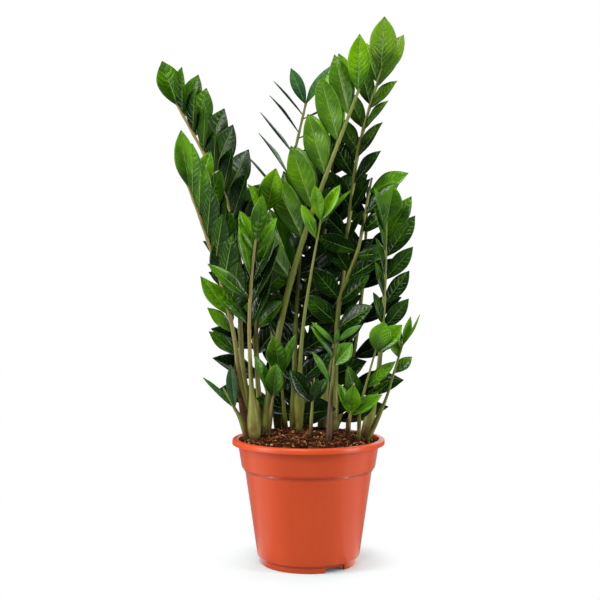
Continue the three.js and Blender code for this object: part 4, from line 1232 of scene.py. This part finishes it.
def on_soil(draw, feet, margin):
    """A free place on the soil, clear of the stems' feet."""
    while True:
        radius = (SOIL_RADIUS - margin) * math.sqrt(draw.random())
        angle = 2 * math.pi * draw.random()
        x, y = radius * math.cos(angle), radius * math.sin(angle)
        if all(math.hypot(x - fx, y - fy) > reach for fx, fy, reach in feet):
            return x, y


def add_chip(shape, draw, feet):
    """A bark chip: three uneven four-sided rings, small at both ends, lying at a lean."""
    x, y = on_soil(draw, feet, CHIP_MARGIN)
    long, wide = draw.uniform(3, 10) * draw.uniform(0.6, 1.1), draw.uniform(1.2, 3.6)
    thick = draw.uniform(0.7, 2)
    turn, lean, roll = draw.uniform(0, 360), draw.normal(0, 20), draw.uniform(-50, 50)
    along = np.array([cos(turn) * cos(lean), sin(turn) * cos(lean), sin(lean)])
    flat = square_to(np.array([0, 0, 1.0]), along)
    side = np.cross(flat, along)
    across = side * cos(roll) + flat * sin(roll)
    up = flat * cos(roll) - side * sin(roll)
    centre = np.array([x, y, ground(x, y) + draw.uniform(-0.2, 1.1)])
    corners = []
    for t, size in ((-0.5, draw.uniform(0.3, 0.9)), (0.05, 1.0), (0.5, draw.uniform(0.2, 0.8))):
        middle = centre + along * long * t + up * draw.uniform(-0.2, 0.2) * thick
        for a, b in ((-1, -1), (1, -0.8), (1, 1), (-1, 0.7)):
            corners.append(middle + across * a * wide * size / 2 * draw.uniform(0.7, 1.2)
                           + up * b * thick * size / 2 * draw.uniform(0.7, 1.2))
    tone = draw.choice([draw.uniform(*tones) for tones in CHIP_TONES], p=CHIP_TONE_SHARES)
    shape.add(corners, [ring_faces(3, 4), [[3, 2, 1, 0]], [[8, 9, 10, 11]]], bit_tone=(tone, 0, 0))


def add_fibre(shape, draw, feet):
    """A coir fibre that wanders over the soil, raised in its middle. One cut too short is left out."""
    here = np.array(on_soil(draw, feet, FIBRE_MARGIN))
    turn, bend = draw.uniform(0, 360), draw.uniform(-7, 7)
    path = []
    for _ in range(FIBRE_POINTS):
        path.append([*here, 0])
        turn += bend + draw.normal(0, 9)
        here = here + np.array([cos(turn), sin(turn)]) * draw.uniform(1.6, 3.2)
        if math.hypot(*here) > SOIL_RADIUS - 1.5:
            break
    if len(path) < FEWEST_FIBRE_POINTS:
        return
    lift = draw.uniform(0.2, 1.4)
    for k, point in enumerate(path):
        point[2] = ground(*point[:2]) + 0.4 + lift * math.sin(math.pi * k / (len(path) - 1))
    path = np.array(path)
    ways = np.array([unit(way) for way in np.gradient(path, axis=0)])
    radii = [0.2] + [draw.uniform(0.22, 0.42)] * (len(path) - 2) + [0.12]
    points = tube(path, radii, ways, 4, (0.1, 0.2, 1.0))
    end = len(points)
    shape.add(points, [ring_faces(len(path), 4), [[3, 2, 1, 0]], [[end - 4, end - 3, end - 2, end - 1]]],
              bit_tone=(draw.uniform(0.35, 0.85), 0, 0))


def make_bark(stems):
    """Bark chips and coir fibres that lie in the top of the mix."""
    draw = np.random.default_rng(5)
    feet = [(*stem["samples"][0][:2], stem_radius(stem, 0) + FOOT_MARGIN) for stem in stems]
    shape = Shape(("bit_tone",))
    for _ in range(CHIP_COUNT):
        add_chip(shape, draw, feet)
    for _ in range(FIBRE_COUNT):
        add_fibre(shape, draw, feet)
    bark = shape.build("bark_and_fibres", [bark_material()], smooth_faces=False)
    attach(bark, "root")


# ---- Sheaths --------------------------------------------------------------------------------
SHEATH_ROWS = 26
SHEATH_COLUMNS = 18
SHEATH_NARROWING = 0.97
SHEATH_RAGGEDNESS = 0.06
SHEATH_RIB = 0.22
SHEATH_RIB_WAVES = 17
SHEATH_EDGE_CURL = 0.5
SHEATH_BUCKLING = 0.25
SHEATH_STANDOFF = 0.1


def make_sheath(sheath, stems, finish):
    """A dry scale leaf wrapped round a stem's foot, ribbed, curled at its edges, up to a point."""
    stem = next(one for one in stems if one["name"] == sheath["stem"])
    facing = sheath["facing"]
    rings, shares = [], np.linspace(-1, 1, SHEATH_COLUMNS)
    for row in range(SHEATH_ROWS + 1):
        t = row / SHEATH_ROWS
        point, direction = stem_at(stem, sheath["top"] * t)
        direction = np.array([0, 0, 1.0]) if row == 0 else direction
        reach = sheath["span"] / 2 * (1 - SHEATH_NARROWING * t ** 1.7)
        ragged = 1 + SHEATH_RAGGEDNESS * noise.noise(Vector((t * 9, 3.0, facing)))
        angles = np.radians(facing + shares * reach * ragged)
        ribs = SHEATH_RIB * np.sin(shares * SHEATH_RIB_WAVES)
        edges = SHEATH_EDGE_CURL * np.abs(shares) ** 6 * (0.4 + t)
        inner = stem_radius(stem, sheath["top"] * t) + SHEATH_GAP + SHEATH_STANDOFF + ribs + edges
        inner = inner + SHEATH_BUCKLING * noise.noise(Vector((t * 5, 1.0, 2.0)))
        for radius, order in ((inner + SHEATH_THICKNESS, 1), (inner, -1)):
            rings.append(ring_at(point, direction, (1.0, 0, 0), radius[::order], angles[::order]))
    ring = np.arange(2 * SHEATH_COLUMNS)
    shape = Shape()
    shape.add(np.concatenate(rings), [ring_faces(SHEATH_ROWS + 1, len(ring)), [ring[::-1]],
                                      [ring + SHEATH_ROWS * len(ring)]])
    piece = shape.build("dry_" + sheath["name"], [finish])
    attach(piece, "root")
    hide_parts(sheath["name"])


# ---- Stage, light and camera ----------------------------------------------------------------
# Places and sizes here are in metres, and the lens and its sensor in millimetres.
CAMERA_PLACE = (-0.0135, -1.534, 0.417)
CAMERA_LENS = 57.54
SENSOR_WIDTH = 36
FLOOR_HALF = 9
FLOOR_AS_SEEN = (0.7, 0.85, 0.86, 1)
FLOOR_AS_MIRRORED = (0.28, 0.29, 0.3, 1)
SOFT_SKY = (0.98, 1.0, 0.94, 1)
SOFT_SKY_STRENGTH = 0.1
# Each light: its name, its place, what it faces, its width and height, and its power in watts.
SOFTBOXES = (
    ("left strip", (-1.4, -0.6, 0.7), (0, 0, 0.4), (0.35, 1.4), 21),
    ("right strip", (1.4, -0.65, 0.65), (0, 0, 0.4), (0.35, 1.4), 20),
    ("top softbox", (-0.45, -0.6, 1.9), (0, 0, 0.5), (0.5, 0.5), 16),
    ("back softbox", (0.8, 1.8, 1.3), (0, 0, 0.45), (2.0, 2.0), 22),
    ("front softbox", (-0.3, -1.4, 1.5), (0, 0, 0.5), (0.45, 0.3), 9),
)


def lead_out(work, kind, share, plain, lit):
    """Mixes two shaders at a share and leads them to the output, which is of this kind."""
    both = work.node("ShaderNodeMixShader", {0: share, 1: plain.outputs[0], 2: lit.outputs[0]})
    output = next(node for node in work.tree.nodes if node.type == kind)
    work.set(output.inputs["Surface"], both.outputs[0])


def floor_material():
    """Pale near the pot, where shadows fall, and plain white to the camera farther off."""
    material, work, shader, here = new_material("pale studio floor")
    shader.inputs["Roughness"].default_value = 0.6
    away = work.node("ShaderNodeVectorMath", {0: here}, operation="LENGTH").outputs["Value"]
    seen = work.node("ShaderNodeLightPath").outputs["Is Camera Ray"]
    white_share = work.total((work.step(0.07, 0.078, away), 0.2), (work.step(0.076, 0.155, away), 0.77),
                             start=0.03)
    # Two patches of the floor beside the pot glow white as light cards; the camera doesn't see them,
    # only what the plastic mirrors of them.
    x, y, _ = work.parts(here)
    bearing = work.math("ARCTAN2", x, work.times(y, -1.0))
    glowing_cards = work.math("ADD", work.band(0.98, 1.06, 1.6, 2.1, bearing),
                      work.band(-2.1, -1.7, -1.4, -0.95, bearing))
    glowing_cards = work.times(work.times(glowing_cards, work.step(0.8, 0.62, away)), work.math("SUBTRACT", 1.0, seen))
    share = work.scale(glowing_cards, 0.8, work.times(white_share, seen))
    work.set(shader.inputs["Base Color"], work.blend(seen, FLOOR_AS_MIRRORED, FLOOR_AS_SEEN))
    white = work.node("ShaderNodeEmission", {"Color": (1, 1, 1, 1), "Strength": 1.0})
    lead_out(work, "OUTPUT_MATERIAL", share, shader, white)
    return material


def make_floor():
    """A wide flat floor, level with the foot of the pot."""
    shape = Shape()
    half = FLOOR_HALF / MM
    corners = [(-half, -half, 0), (half, -half, 0), (half, half, 0), (-half, half, 0)]
    shape.add(corners, [[[0, 1, 2, 3]]])
    floor = shape.build("studio_floor", [floor_material()])


def make_world():
    """Soft light from all sides, plain white to the camera."""
    world = bpy.data.worlds.new("white studio")
    bpy.context.scene.world = world
    world.use_nodes = True
    work = Tree(world.node_tree)
    seen = work.node("ShaderNodeLightPath").outputs["Is Camera Ray"]
    soft = work.node("ShaderNodeBackground", {"Color": SOFT_SKY, "Strength": SOFT_SKY_STRENGTH})
    plain = work.node("ShaderNodeBackground", {"Color": (1, 1, 1, 1), "Strength": 1.0})
    lead_out(work, "OUTPUT_WORLD", seen, soft, plain)


def make_softbox(name, place, target, size, power):
    """A flat soft light at a place, turned towards its target."""
    lamp = bpy.data.lights.new(name, "AREA")
    lamp.shape, lamp.size, lamp.size_y = "RECTANGLE", *size
    lamp.energy = power
    holder = bpy.data.objects.new(name, lamp)
    holder.location = place
    holder.rotation_euler = (Vector(target) - Vector(place)).to_track_quat("-Z", "Y").to_euler()
    bpy.context.scene.collection.objects.link(holder)


def make_camera():
    """The camera of the main view, which looks level at the middle of the plant."""
    lens = bpy.data.cameras.new("photo camera")
    lens.sensor_width, lens.lens = SENSOR_WIDTH, CAMERA_LENS
    lens.clip_start, lens.clip_end = 0.05, 40
    camera = bpy.data.objects.new("photo camera", lens)
    camera.location = CAMERA_PLACE
    camera.rotation_euler = (math.radians(90), 0, 0)
    bpy.context.scene.collection.objects.link(camera)
    bpy.context.scene.camera = camera


# ---- The plant ------------------------------------------------------------------------------
make_floor()
make_world()
for look in SOFTBOXES:
    make_softbox(*look)
make_camera()
bpy.context.scene.view_settings.view_transform = "Standard"

for one in STEMS:
    trace_stem(one)
grow_leaves(STEMS)
make_pot()
make_soil()
make_bark(STEMS)
for one in STEMS:
    grow_frond(one)
brown = sheath_material()
for one in SHEATHS:
    make_sheath(one, STEMS, brown)

bpy.context.view_layer.update()
